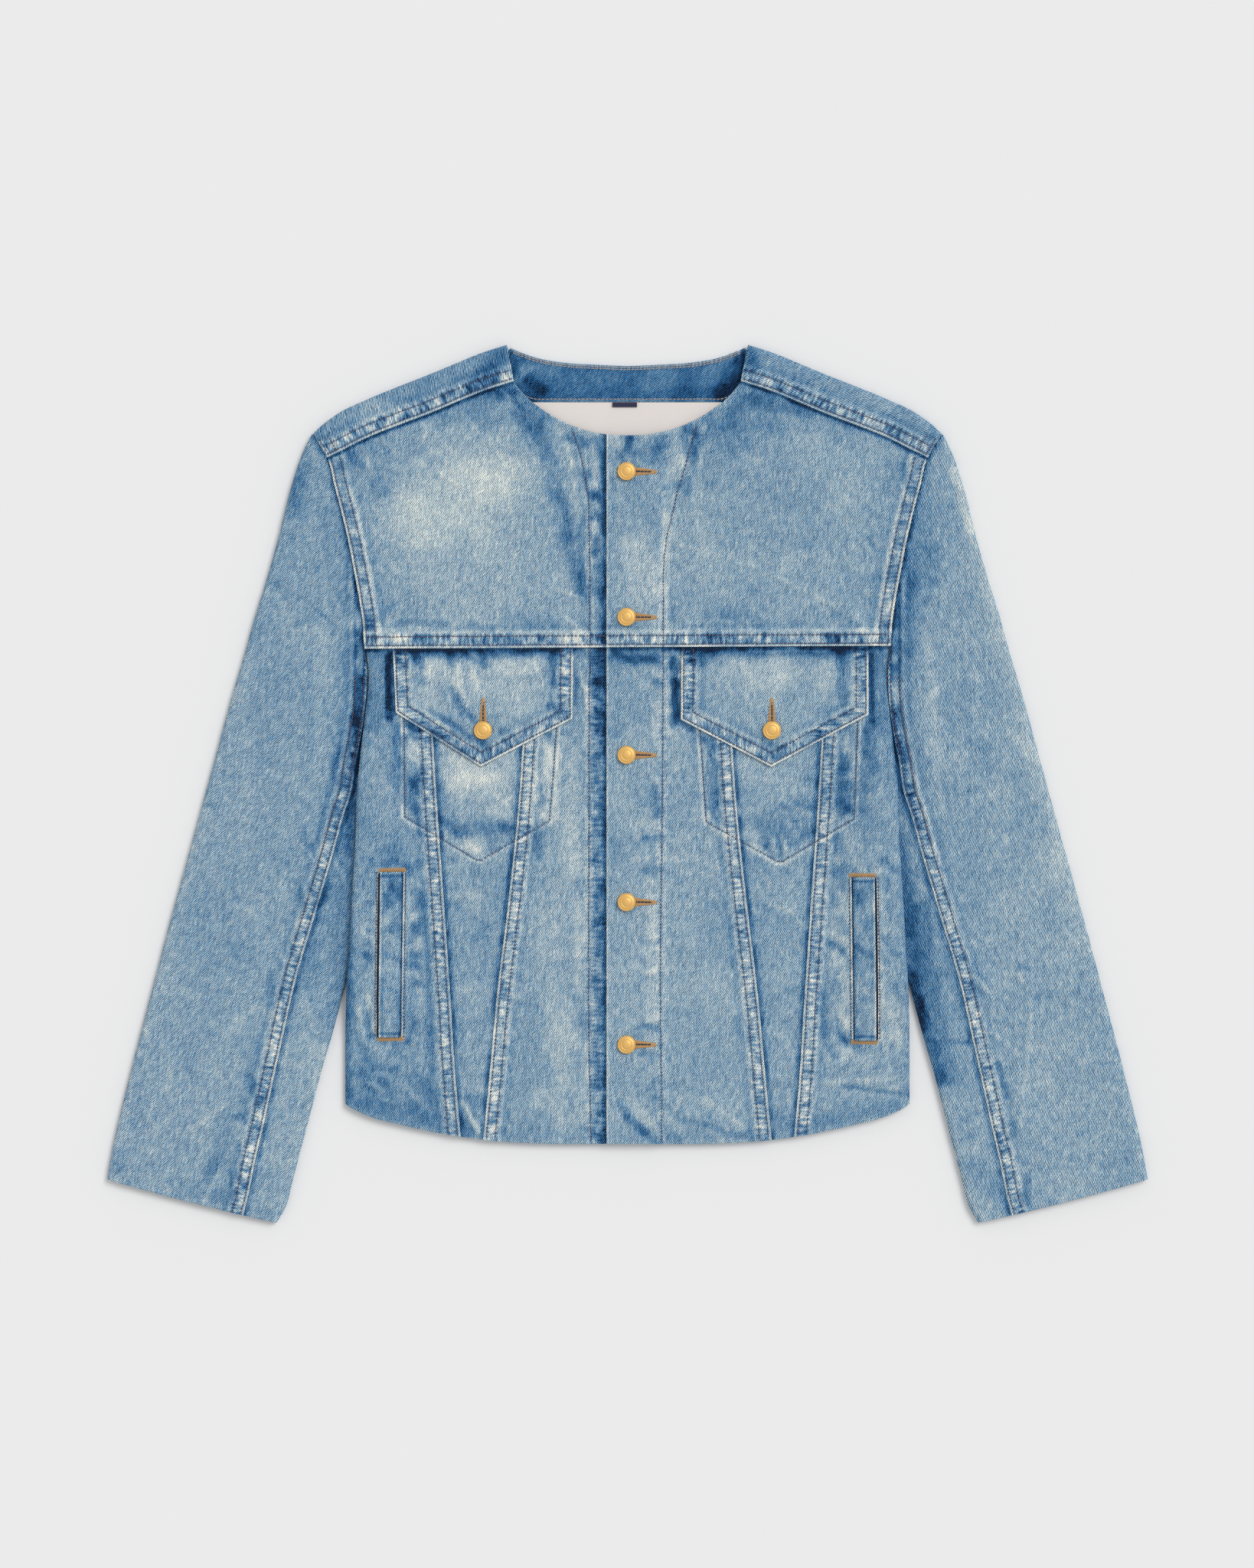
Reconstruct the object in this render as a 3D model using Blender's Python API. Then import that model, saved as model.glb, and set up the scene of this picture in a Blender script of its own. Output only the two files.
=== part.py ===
"""A collarless cropped denim jacket, buttoned and laid flat on its back with its sleeves down.

All lengths here are millimetres, and the meshes are made in metres.  +X is the wearer's left, +Y runs
from hem to neck and +Z is up from the surface that the jacket lies on.  The origin is on that surface
under the middle of the jacket.  Shapes are described for one half, with x counted outwards from the
centre line, and side is +1 for the wearer's left half and -1 for the right one.
"""

import bmesh
import bpy
import numpy as np

MM = 0.001
LEFT, RIGHT = 1, -1

# Cloth walls and the heights at which they lie.
DENIM = 1.5
THIN_DENIM = 1.2
LINING = 1.0
SEAM_GAP = 0.3
ARMHOLE_GAP = 0.6
LAYER_GAP = 0.3
WELT_GAP = 0.5
BODY_THICK = 6.8
SLEEVE_THICK = 6.8
FOLD_REACH = 4.5

# Lapped seams: how far a seam's edge band stands up, and how wide the band and its slope are.
BAND_RISE = 0.7
BAND_WIDE = 9.0
BAND_SLOPE = 4.0
CHEST_BAND_RISE = 2.3
CHEST_BAND_WIDE = 11.0
MID_DROP = 0.4

# The placket: edge of the top front, underlap of the lower front, and the rise of the top layer.
PLACKET_EDGE = -16.2
UNDERLAP_EDGE = -18.0
PLACKET_RISE = 1.9
PLACKET_FLAT = 20.0
PLACKET_END = 34.0

# The body's side lies over the tucked inner part of the sleeve.
TUCK_LIFT = 5.3
TUCK_SINK = 2.0

CHEST_Y = 104.8
CHEST_TILT = 0.005
BACK_YOKE_Y = 205.0
FACING_Y = 294.5
LINING_END_Y = 216.0
LINING_HALF = 120.0
FACING_HALF = 90.5
NECK_HALF = 93.0
NECK_CORNER = 87.3
SHOULDER_END = 231.5

# Columns: y, x of the front armhole seam from the underarm up to the shoulder tip.
ARMHOLE = ((88, 200.0), (96, 201.2), (108, 203.0), (120, 203.8), (143, 207.0), (167, 211.5),
           (190, 216.0), (212, 221.3), (231, 226.3), (251, 231.5), (260.4, 237.0), (269.8, 242.5))
# Columns: y, x of the back armhole seam.
BACK_ARMHOLE = ((88, 200.6), (105, 203.4), (125, 209), (150, 217), (180, 222.5), (205, 226),
                (230, 231), (250, 236), (269.8, 242.5))
# Columns: y, x of the body's side fold.
BODY_SIDE = ((-250, 217.6), (-222, 217.6), (-175, 216.2), (-134, 214.0), (-92, 211.8), (-45, 209.2),
             (-12, 208.3), (18, 205.6), (48, 202.4), (66, 200.6), (88, 200.0), (96, 201.2), (108, 203.0))
# Columns: x, y of the hem.
HEM = ((0, -277.6), (70, -277.4), (94, -276.2), (118, -273.8), (142, -270.0), (177, -262.5),
       (197, -257.2), (212, -250.5), (217.6, -247.0))
# Columns: x, y of the shoulder fold.
SHOULDER_FOLD = ((93, 338.5), (106, 334.5), (118, 330.2), (130, 325.2), (153, 315.6), (177, 306.2),
                 (200.5, 296.5), (224, 285.0), (237, 275.2), (242.5, 269.8))
# Columns: x, y of the shoulder seam on the front.
SHOULDER_SEAM = ((87.3, 310.0), (94, 308.0), (106, 304.3), (130, 294.7), (153, 285.0), (177, 276.0),
                 (200.5, 266.5), (222, 255.7), (231.5, 251.0))
# Columns: x, y of the neckline at the back and at the front.
BACK_NECK = ((0, 322.4), (24, 323.4), (47, 324.8), (71, 329.0), (83, 333.2), (93, 337.5))
FRONT_NECK = ((0, 268.3), (12, 268.7), (26, 271.0), (40, 275.0), (52, 280.3), (65, 288.0),
              (75, 295.5), (82.5, 303.0), (87.3, 310.0))
# Columns: y, x of the two seams that run from the chest seam to the hem.
CENTER_SEAM = ((-277, 111.5), (-222, 106.2), (-163, 100.8), (-104, 93.6), (-10, 83.8), (34, 80.8),
               (104.8, 76.5))
SIDE_SEAM = ((-277, 128.0), (-222, 132.7), (-163, 136.4), (-104, 140.4), (-10, 146.9), (34, 149.5),
             (104.8, 153.5))
# Columns: y, x of the seams between the back's panels.
BACK_SEAM = ((-277, 78.0), (-100, 92.0), (60, 108.0), (205, 124.0))

# Columns: y, x of the sleeve's outer fold, inner fold and front seam.
SLEEVE_OUTER = ((-305, 401.5), (-281, 397.1), (-222, 383.0), (-163, 367.6), (-104, 352.0),
                (-45, 335.7), (14, 319.5), (73, 303.3), (96.5, 296.2), (132, 286.2), (155.5, 278.8),
                (191, 268.8), (226, 260.0), (250, 252.3), (262, 247.3), (269.8, 243.0))
SLEEVE_INNER = ((-338.5, 270.5), (-328, 264.4), (-305, 258.0), (-281, 251.7), (-257.5, 245.5),
                (-222, 236.3), (-198.5, 229.4), (-175, 223.0), (-163, 220.0), (-150, 216.3),
                (-135, 211.9), (-120, 207.6), (-100, 203.0), (-70, 199.6), (-40, 199.8), (-10, 202.5),
                (10, 205.0), (25, 205.6), (48, 203.1), (66, 201.3), (88, 201.1))
SLEEVE_SEAM = ((-333, 296.0), (-316, 291.5), (-293, 287.0), (-269, 281.4), (-222, 271.1),
               (-198, 265.8), (-151, 255.2), (-104, 241.3), (-45, 224.0), (-21, 217.5), (-10, 213.6),
               (14, 209.6), (43, 204.0), (62, 201.5), (88, 200.5))
BACK_SLEEVE_SEAM_TOP = 0.62
BACK_SLEEVE_SEAM_CUFF = 0.76
LEAST_UNDER_SLEEVE = 2.0
CUFF_BOW = 1.3

# Columns: x0, y0, x1, y1, half width, height of the largest soft folds.  Here x is signed.
FOLDS = ((150, 158, 184, 120, 7, 1.0),
         (-150, 150, -182, 128, 8, 0.7),
         (-50, 245, -46, 125, 9, -0.7),
         (-187, 88, -186, -5, 8, 0.9),
         (186, 80, 190, -20, 8, 0.8),
         (-122, -236, -110, -270, 7, 0.8),
         (2, -246, 20, -274, 7, -0.7),
         (38, -252, 84, -270, 8, 0.7),
         (150, -238, 216, -243, 7, -0.7),
         (-290, -268, -300, -318, 9, 1.1),
         (-288, -215, -290, -262, 9, 0.9),
         (-352, -198, -372, -224, 10, 0.8),
         (296, -142, 345, -150, 10, 0.9),
         (311, -155, 300, -270, 10, 1.0),
         (345, -214, 376, -218, 9, 0.7),
         (268, -142, 285, -178, 8, 0.9))

# Pocket flaps, hand pocket welts, the neck tab and the buttons.
# The flaps' corners at their inner edge, their point and their outer edge, as x, y, and the x of both
# edges at the chest seam.
FLAP_CORNERS = {LEFT: ((41.1, 49.2), (110.8, 12.8), (185.6, 53.0)),
                RIGHT: ((42.2, 50.0), (112.8, 13.0), (178.4, 54.6))}
FLAP_TOPS = {LEFT: (41.4, 185.7), RIGHT: (41.7, 180.8)}
WELT_IN, WELT_OUT, WELT_SLANT = 173.5, 190.2, -1.6
# y of the lower and the upper end of each hand pocket's strip.
WELT_ENDS = {LEFT: (-198.0, -72.0), RIGHT: (-195.5, -68.0)}
TAB_LEFT, TAB_RIGHT, TAB_TOP, TAB_LOW = -11.5, 7.4, 294.0, 290.5
BUTTON_RADIUS = 7.0
BUTTON_X = -0.6
BUTTON_YS = (240.4, 128.3, 22.1, -91.2, -200.9)
FLAP_BUTTON_X, FLAP_BUTTON_Y = 111.2, 41.0
# Columns: radius and height as shares of the button's radius, from the foot up to the crown.
BUTTON_PROFILE = ((0.55, 0.0), (0.60, 0.12), (0.96, 0.16), (1.0, 0.26), (0.96, 0.38), (0.84, 0.42),
                  (0.78, 0.39), (0.45, 0.47), (0.0, 0.50))
BUTTON_SIDES = 16

BODY_ROWS = 17
YOKE_ROWS = 8
SLEEVE_ROWS = 21
QUARTER_TURN = (90, 55, 25, 0)


def ramp(value, start, end):
    """0 before start, 1 after end, smooth between."""
    share = np.clip((value - start) / (end - start), 0, 1)
    return share * share * (3 - 2 * share)


def smooth(rows, at):
    """A cubic curve through (key, value) rows read at the given keys, level past both ends."""
    keys, values = np.array(rows, float).T
    slopes = np.gradient(values, keys)
    at = np.clip(at, keys[0], keys[-1])
    cell = np.clip(np.searchsorted(keys, at) - 1, 0, len(keys) - 2)
    span = keys[cell + 1] - keys[cell]
    t = (at - keys[cell]) / span
    start = (1 + 2 * t) * (1 - t) ** 2 * values[cell] + t * (1 - t) ** 2 * span * slopes[cell]
    end = t * t * (3 - 2 * t) * values[cell + 1] + t * t * (t - 1) * span * slopes[cell + 1]
    return start + end


def folds(x, y):
    """Height of the soft folds at signed x, y: each a bump along its line, fading at its ends."""
    height = np.zeros(np.broadcast(x, y).shape)
    for x0, y0, x1, y1, half, rise in FOLDS:
        length = np.hypot(x1 - x0, y1 - y0)
        along = ((x - x0) * (x1 - x0) + (y - y0) * (y1 - y0)) / length
        off = ((x - x0) * (y1 - y0) - (y - y0) * (x1 - x0)) / length
        ends = ramp(along, -half, half) * ramp(length - along, -half, half)
        height += rise * ends * np.exp(-(off / half) ** 2)
    return height


def chest_y(side, x):
    return CHEST_Y + CHEST_TILT * side * x


def tuck(y):
    """1 where the body lies over the sleeve's inner part, 0 above the underarm and near the hem."""
    return ramp(y, -205, -152) * (1 - ramp(y, 25, 95))


def lift(x, y):
    """Height of the back's underside, which rises over the tucked sleeve."""
    return TUCK_LIFT * ramp(x, 150, 197) * tuck(y)


def body_over(side, x, y):
    """Height of the plain front above the surface, before any seam or placket."""
    return lift(x, y) + BODY_THICK + folds(side * x, y)


def turned(depth, inset):
    """Plan distance from a fold's edge, and share of the half height there, of a wall's face."""
    angle = np.arccos(1 - np.clip(depth / FOLD_REACH, 0, 1))
    plan = np.where(depth < FOLD_REACH, inset + (FOLD_REACH - inset) * (1 - np.cos(angle)), depth)
    return plan, np.sin(angle)


def placket_rise(side, x):
    """Rise of the top front over the lower one."""
    return PLACKET_RISE * (1 - ramp(x, PLACKET_FLAT, PLACKET_END)) * (side == LEFT)


def band(distance, rise=BAND_RISE, wide=BAND_WIDE):
    """Rise of a lapped seam's band at a distance from its edge."""
    return rise * (1 - ramp(distance, wide, wide + BAND_SLOPE))


def faces_of(points):
    """Outer and inner face of a wall from a function of the inset."""
    return points(0.0), points(DENIM)


def stack(x, y, z):
    return np.stack(np.broadcast_arrays(x, y, z), axis=-1).astype(float)


def spread(low, high, near_low=(), shares=(), near_high=()):
    """Columns between two edges: distances from the low edge, shares of the width, and from the high."""
    parts = [low + distance for distance in (0,) + tuple(near_low)]
    parts += [low + (high - low) * share for share in shares]
    parts += [high - distance for distance in tuple(near_high) + (0,)]
    return np.stack(np.broadcast_arrays(*parts), axis=-1)


def make_material(name, color, roughness, metallic=0.0):
    material = bpy.data.materials.new(name)
    material.use_nodes = True
    shader = material.node_tree.nodes["Principled BSDF"]
    shader.inputs["Base Color"].default_value = (*color, 1)
    shader.inputs["Roughness"].default_value = roughness
    shader.inputs["Metallic"].default_value = metallic
    material.diffuse_color = (*color, 1)
    return material


def add_object(name, mesh_builder, material):
    """A named object from a filled bmesh, its faces turned outwards."""
    bmesh.ops.recalc_face_normals(mesh_builder, faces=mesh_builder.faces)
    mesh = bpy.data.meshes.new(name)
    mesh_builder.to_mesh(mesh)
    mesh_builder.free()
    mesh.materials.append(material)
    mesh.shade_smooth()
    mesh.set_sharp_from_angle(angle=np.radians(40))
    piece = bpy.data.objects.new(name, mesh)
    bpy.context.scene.collection.objects.link(piece)
    return piece


def wall(name, outer, inner, material, kept=None):
    """A closed cloth wall between two grids of points; kept says which cells of the grid exist."""
    rows, columns = outer.shape[:2]
    if kept is None:
        kept = np.ones((rows - 1, columns - 1), bool)
    builder = bmesh.new()
    front, back = ([[builder.verts.new(point) for point in row] for row in grid * MM]
                   for grid in (outer, inner))
    edges = set()
    for i, j in zip(*np.nonzero(kept)):
        ring = ((i, j), (i, j + 1), (i + 1, j + 1), (i + 1, j))
        builder.faces.new([front[a][b] for a, b in ring])
        builder.faces.new([back[a][b] for a, b in reversed(ring)])
        edges.update(zip(ring, ring[1:] + ring[:1]))
    for (a, b), (c, d) in sorted(edges):
        if ((c, d), (a, b)) not in edges:
            builder.faces.new((front[c][d], front[a][b], back[a][b], back[c][d]))
    loose = [vertex for vertex in builder.verts if not vertex.link_faces]
    bmesh.ops.delete(builder, geom=loose, context="VERTS")
    return add_object(name, builder, material)


def lower_rows():
    """Row heights, as shares, from the hem to the chest seam."""
    return np.linspace(0, 1, BODY_ROWS)[:, None]


def lower_y(side, x, share):
    """Height up the body at a share of the way from the hem to the chest seam."""
    hem = smooth(HEM, np.abs(x))
    return hem + (chest_y(side, x) - SEAM_GAP / 2 - hem) * share


def nominal_y(share):
    return HEM[0][1] + (CHEST_Y - HEM[0][1]) * share


def front_wall(name, side, x, y, level, material):
    """A flat front panel at its level above the plain front."""
    over = body_over(side, x, y) + level
    outer, inner = faces_of(lambda inset: stack(side * x, y, over - inset))
    wall(name, outer, inner, material)


def front_center(name, side, material):
    share = lower_rows()
    y_plain = nominal_y(share[:, 0])
    edge = np.full(BODY_ROWS, PLACKET_EDGE if side == LEFT else UNDERLAP_EDGE)
    seam = smooth(CENTER_SEAM, y_plain) - SEAM_GAP / 2
    x = spread(edge, seam, near_low=(18, 37, 44, 51), near_high=(22, BAND_WIDE + BAND_SLOPE, BAND_WIDE))
    y = lower_y(side, x, share)
    level = placket_rise(side, x) + band(seam[:, None] - x)
    front_wall(name, side, x, y, level, material)


def front_mid(name, side, material):
    share = lower_rows()
    y_plain = nominal_y(share[:, 0])
    low = smooth(CENTER_SEAM, y_plain) + SEAM_GAP / 2
    high = smooth(SIDE_SEAM, y_plain) - SEAM_GAP / 2
    x = spread(low, high, shares=(0.33, 0.67))
    y = lower_y(side, x, share)
    front_wall(name, side, x, y, -MID_DROP, material)


def side_wrap(y):
    """How far the front goes under the body, from the side fold to the side seam."""
    return FOLD_REACH + 1.5 + 13 * (1 - ramp(y, 40, 104))


def front_side(name, side, material):
    """The side panel: over the front, round the side fold and under to the side seam."""
    share = lower_rows()
    y_plain = nominal_y(share[:, 0])
    seam = smooth(SIDE_SEAM, y_plain) + SEAM_GAP / 2
    fold = smooth(BODY_SIDE, y_plain)
    turn = FOLD_REACH * (1 - np.cos(np.radians(QUARTER_TURN)))
    near_fold = (36, 27, 18, 10) + tuple(turn[:-1])
    top = spread(seam, fold, near_low=(BAND_WIDE, BAND_WIDE + BAND_SLOPE), near_high=near_fold)
    between = top[:, 2:4].mean(axis=1, keepdims=True)
    top = np.concatenate((top[:, :3], between, top[:, 3:]), axis=1)
    wrap = side_wrap(y_plain)
    under = spread(fold - wrap, fold, near_low=(5,), near_high=tuple(turn[:-1]))[:, -2::-1]
    x = np.concatenate((top, under), axis=1)
    is_under = np.arange(x.shape[1]) >= top.shape[1]
    y = lower_y(side, x, share)
    depth = fold[:, None] - x
    low = lift(x, y)
    high = body_over(side, x, y)
    level = band(x - seam[:, None]) * ~is_under

    def points(inset):
        plan, rise = turned(depth, inset)
        half = (high - low) / 2 + level - inset
        z = (high + low) / 2 + np.where(is_under, -1, 1) * half * rise
        return stack(side * (fold[:, None] - plan), y, z)

    outer, inner = faces_of(points)
    wall(name, outer, inner, material)


def front_yoke(name, side, material):
    """The chest panel, from the chest seam up to the neckline and the shoulder seam."""
    edge = PLACKET_EDGE if side == LEFT else UNDERLAP_EDGE
    neck = spread(edge, NECK_CORNER, near_low=(18, 30, 37, 44, 51), shares=(0.62, 0.74, 0.86, 0.93))
    shoulder = shoulder_columns()[:, 1:]
    x_top = np.concatenate((np.atleast_2d(neck), shoulder), axis=1)[0]
    y_top = np.where(x_top <= NECK_CORNER, smooth(FRONT_NECK, np.abs(x_top)), smooth(SHOULDER_SEAM, x_top))
    y_top = y_top - SEAM_GAP * (x_top >= NECK_CORNER)
    rises = (0, CHEST_BAND_WIDE, CHEST_BAND_WIDE + BAND_SLOPE)
    base = chest_y(side, x_top) + SEAM_GAP / 2
    y = spread(base, y_top, near_low=rises[1:], shares=np.linspace(0.2, 0.9, YOKE_ROWS - 3)).T
    arm = smooth(ARMHOLE, np.minimum(y, SHOULDER_SEAM[-1][1]))
    x = edge + (arm - edge) * (x_top - edge) / (SHOULDER_END - edge)
    level = placket_rise(side, x) + band(y - base, CHEST_BAND_RISE, CHEST_BAND_WIDE)
    level = level + band(arm - x) * ramp(arm - edge, 0, 1) * ramp(y - base, 0, CHEST_BAND_WIDE)
    front_wall(name, side, x, y, level, material)


def shoulder_columns():
    """Columns along the shoulder seam, shared by the yokes that meet there."""
    return spread(np.array([NECK_CORNER]), np.array([SHOULDER_END]), shares=np.linspace(0.09, 0.9, 9))


def back_yoke(name, material):
    """The back yoke: flat under the body, round both shoulder folds and down to the front seams."""
    seam_x = shoulder_columns()[0]
    fold_x = NECK_HALF + (SHOULDER_FOLD[-1][0] - NECK_HALF) * (seam_x - NECK_CORNER) / (
        SHOULDER_END - NECK_CORNER)
    middle = np.linspace(-NECK_HALF, NECK_HALF, 15)
    signed = np.concatenate((-fold_x[:0:-1], middle, fold_x[1:]))
    seam_end = np.interp(np.abs(signed), fold_x, seam_x)
    side = np.where(signed < 0, RIGHT, LEFT)
    fold_x = np.abs(signed)
    on_shoulder = fold_x >= NECK_HALF - 0.001
    fold_y = np.where(on_shoulder, smooth(SHOULDER_FOLD, fold_x), smooth(BACK_NECK, fold_x))
    turn = FOLD_REACH * (1 - np.cos(np.radians(QUARTER_TURN)))
    flat_top = np.where(on_shoulder, fold_y - FOLD_REACH, fold_y)
    under_y = spread(np.full(len(signed), BACK_YOKE_Y + SEAM_GAP / 2), flat_top, shares=(0.25, 0.5, 0.75)).T
    round_y = fold_y - np.concatenate((turn[1:], turn[-2::-1]))[:, None]
    seam_y = np.where(on_shoulder, smooth(SHOULDER_SEAM, seam_end), fold_y - 20)
    over_y = spread(seam_y, fold_y - FOLD_REACH, near_low=(BAND_WIDE, BAND_WIDE + BAND_SLOPE)).T[-2::-1]
    y = np.concatenate((under_y, round_y, over_y))
    rows = np.arange(len(y))[:, None]
    is_over = rows >= len(under_y) + len(turn) - 1
    run = (fold_y - y) / (fold_y - seam_y)
    arm = smooth(BACK_ARMHOLE, np.minimum(y, BACK_ARMHOLE[-1][0])) / BACK_ARMHOLE[-1][1]
    x = np.where(is_over, fold_x + (seam_end - fold_x) * run, fold_x * arm)
    high = body_over(side, x, y)
    level = band(y - seam_y) * is_over

    def points(inset):
        plan, rise = turned(fold_y - y, inset)
        rise = np.where(on_shoulder, rise, 1)
        plan = np.where(on_shoulder, plan, fold_y - y)
        z = high / 2 + np.where(is_over, 1, -1) * (high / 2 + level - inset) * rise
        return stack(side * x, fold_y - plan, z)

    kept = np.ones((len(y) - 1, len(signed) - 1), bool)
    neck_cells = (on_shoulder[:-1] & on_shoulder[1:]) == 0
    kept[len(under_y) - 1:, neck_cells] = False
    outer, inner = faces_of(points)
    wall(name, outer, inner, material, kept)


def back_row_ys():
    """Row heights of the back's panels at the centre line, from the hem to the back yoke."""
    return np.concatenate((nominal_y(lower_rows()[:, 0]), (107, 118, 130, 155, 180, BACK_YOKE_Y)))


def back_wall(name, side, x, y, material):
    base = lift(np.abs(x), y)
    wall(name, stack(side * x, y, base), stack(side * x, y, base + DENIM), material)


def back_y(x, plain):
    """Row heights fitted to the hem's curve below the chest seam, as on the front."""
    hem = smooth(HEM, np.abs(x))
    plain = plain[:, None]
    share = (plain - HEM[0][1]) / (CHEST_Y - HEM[0][1])
    fitted = np.where(plain < CHEST_Y, hem + (CHEST_Y - hem) * share, plain)
    return np.minimum(fitted, BACK_YOKE_Y - SEAM_GAP / 2)


def back_center(name, material):
    plain = back_row_ys()
    seam = smooth(BACK_SEAM, plain) - SEAM_GAP / 2
    x = spread(-seam, seam, shares=(0.17, 0.33, 0.5, 0.67, 0.83))
    back_wall(name, LEFT, x, back_y(x, plain), material)


def back_side(name, side, material):
    plain = back_row_ys()
    seam = smooth(BACK_SEAM, plain) + SEAM_GAP / 2
    share = np.clip((plain - HEM[0][1]) / (CHEST_Y - HEM[0][1]), 0, 1)
    fold = smooth(BODY_SIDE, nominal_y(share))
    side_seam = fold - side_wrap(nominal_y(share)) - SEAM_GAP
    edge = side_seam + (smooth(BACK_ARMHOLE, plain) - side_seam) * ramp(plain, 108, 128)
    x = spread(seam, edge, shares=(0.3, 0.5, 0.65, 0.8, 0.9))
    back_wall(name, side, x, back_y(x, plain), material)


def dense_curve(rows):
    """Points of a (y, x) table's curve from its top down, with its running length as a share."""
    y = np.linspace(rows[-1][0], rows[0][0], 400)
    points = np.stack((smooth(rows, y), y), axis=1)
    length = np.concatenate(([0], np.cumsum(np.hypot(*np.diff(points, axis=0).T))))
    return points, length / length[-1]


def along(curve, share):
    points, length = curve
    return np.stack([np.interp(share, length, points[:, axis]) for axis in (0, 1)], axis=-1)


def sleeve_plan(armhole_rows):
    """A sleeve laid flat: plan point for share s from armhole to cuff and t from outer to inner fold."""
    outer = dense_curve(SLEEVE_OUTER)
    inner = dense_curve(SLEEVE_INNER)
    arm = dense_curve(armhole_rows)
    arm[0][:, 0] += ARMHOLE_GAP
    corner = {(0, 0): along(outer, 0.0), (0, 1): along(inner, 0.0),
              (1, 0): along(outer, 1.0), (1, 1): along(inner, 1.0)}

    def plan(s, t):
        s = np.asarray(s)[..., None]
        t = np.asarray(t)[..., None]
        cuff = corner[1, 0] + (corner[1, 1] - corner[1, 0]) * t
        cuff = cuff - np.array((0, CUFF_BOW)) * 4 * t * (1 - t)
        blend = (1 - s) * along(arm, t[..., 0]) + s * cuff
        blend = blend + (1 - t) * along(outer, s[..., 0]) + t * along(inner, s[..., 0])
        flat = (1 - s) * ((1 - t) * corner[0, 0] + t * corner[0, 1])
        return blend - flat - s * ((1 - t) * corner[1, 0] + t * corner[1, 1])

    return plan


def sleeve_over(side, x, y):
    """Height of the sleeve's upper face, lower where the body's side lies on it."""
    beside = 1 - ramp(x - smooth(BODY_SIDE, y), 3, 26)
    window = ramp(y, -215, -155) * (1 - ramp(y, 88, 110))
    return SLEEVE_THICK - TUCK_SINK * beside * window + folds(side * x, y)


def sleeve_seam_share(plan, s):
    """Share across the sleeve at which the front seam lies, found by halving."""
    low, high = np.zeros_like(s), np.ones_like(s)
    for _ in range(30):
        middle = (low + high) / 2
        x, y = np.moveaxis(plan(s, middle), -1, 0)
        outside = x > smooth(SLEEVE_SEAM, y)
        low = np.where(outside, middle, low)
        high = np.where(outside, high, middle)
    return low


def sleeve_wall(name, side, over_shares, under_shares, level, s, material):
    """A sleeve piece whose columns run over the top, round one fold and back below."""
    over_plan, under_plan = sleeve_plan(ARMHOLE), sleeve_plan(BACK_ARMHOLE)
    t = np.concatenate((over_shares, under_shares), axis=1)
    is_under = np.arange(t.shape[1]) >= over_shares.shape[1]
    s = np.broadcast_to(s[:, None], t.shape)
    place = np.where(is_under[:, None], under_plan(s, t), over_plan(s, t))
    x, y = place[..., 0], place[..., 1]
    ends = [along_width(over_plan, s[:, 0])]
    width, direction = ends[0]
    near_inner = t > 0.5
    depth = np.where(near_inner, 1 - t, t) * width[:, None]
    outward = np.where(near_inner, 1, -1)
    high = sleeve_over(side, x, y)

    def points(inset):
        plan, rise = turned(depth, inset)
        shift = (depth - plan) * outward
        z = high / 2 + np.where(is_under, -1, 1) * (high / 2 + level - inset) * rise
        return stack(side * (x + shift * direction[:, None, 0]), y + shift * direction[:, None, 1], z)

    outer, inner = faces_of(points)
    wall(name, outer, inner, material)


def along_width(plan, s):
    """Width of a sleeve's sections and the unit direction from their outer to their inner fold."""
    across = plan(s, np.ones_like(s)) - plan(s, np.zeros_like(s))
    width = np.hypot(across[:, 0], across[:, 1])
    return width, across / width[:, None]


def fold_shares(width):
    """Shares of the width at which the columns of a fold's quarter turn lie, from its edge in."""
    turn = FOLD_REACH * (1 - np.cos(np.radians(QUARTER_TURN[::-1])))
    return turn[None, :] / width[:, None]


def sleeve(side, material):
    """Upper and under sleeve of one side, sewn at the front seam on top and the back seam below."""
    name_end = "l" if side == LEFT else "r"
    s = np.linspace(0, 1, SLEEVE_ROWS)
    plan = sleeve_plan(ARMHOLE)
    width, _ = along_width(plan, s)
    seam = np.minimum(sleeve_seam_share(plan, s), 1 - LEAST_UNDER_SLEEVE / width)[:, None]
    back_seam = (BACK_SLEEVE_SEAM_TOP + (BACK_SLEEVE_SEAM_CUFF - BACK_SLEEVE_SEAM_TOP) * s)[:, None]
    turn = fold_shares(width)
    half_gap = SEAM_GAP / 2 / width[:, None]
    band_share = np.array([0, BAND_WIDE, BAND_WIDE + BAND_SLOPE])[None, :] / width[:, None]
    first = turn[:, -1:]

    edge = seam - half_gap
    over = np.concatenate((edge - band_share, first + (edge - first) * np.array([0.72, 0.48, 0.24]),
                           turn[:, ::-1]), axis=1)
    under = np.concatenate((turn[:, 1:], first + (back_seam - half_gap - first) * np.array([0.35, 0.7, 1])),
                           axis=1)
    level = np.zeros(over.shape[1] + under.shape[1])
    level[:2] = BAND_RISE
    sleeve_wall("sleeve_upper_" + name_end, side, over, under, level, s, material)

    edge = seam + half_gap
    last = np.maximum(1 - first, edge)
    inner_turn = 1 - turn[:, ::-1]
    inner_turn = np.maximum(inner_turn, edge + (1 - edge) * np.array([0.25, 0.5, 0.75, 1]))
    over = np.concatenate((edge, edge + (last - edge) * 0.5, inner_turn), axis=1)
    over[:, 1] = np.minimum(over[:, 1], (over[:, 0] + over[:, 2]) / 2)
    back_edge = back_seam + half_gap
    under = np.concatenate((1 - turn[:, 1:], 1 - first - (1 - first - back_edge) * np.array([0.5, 1])), axis=1)
    level = np.zeros(over.shape[1] + under.shape[1])
    sleeve_wall("sleeve_under_" + name_end, side, over, under, level, s, material)


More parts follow.
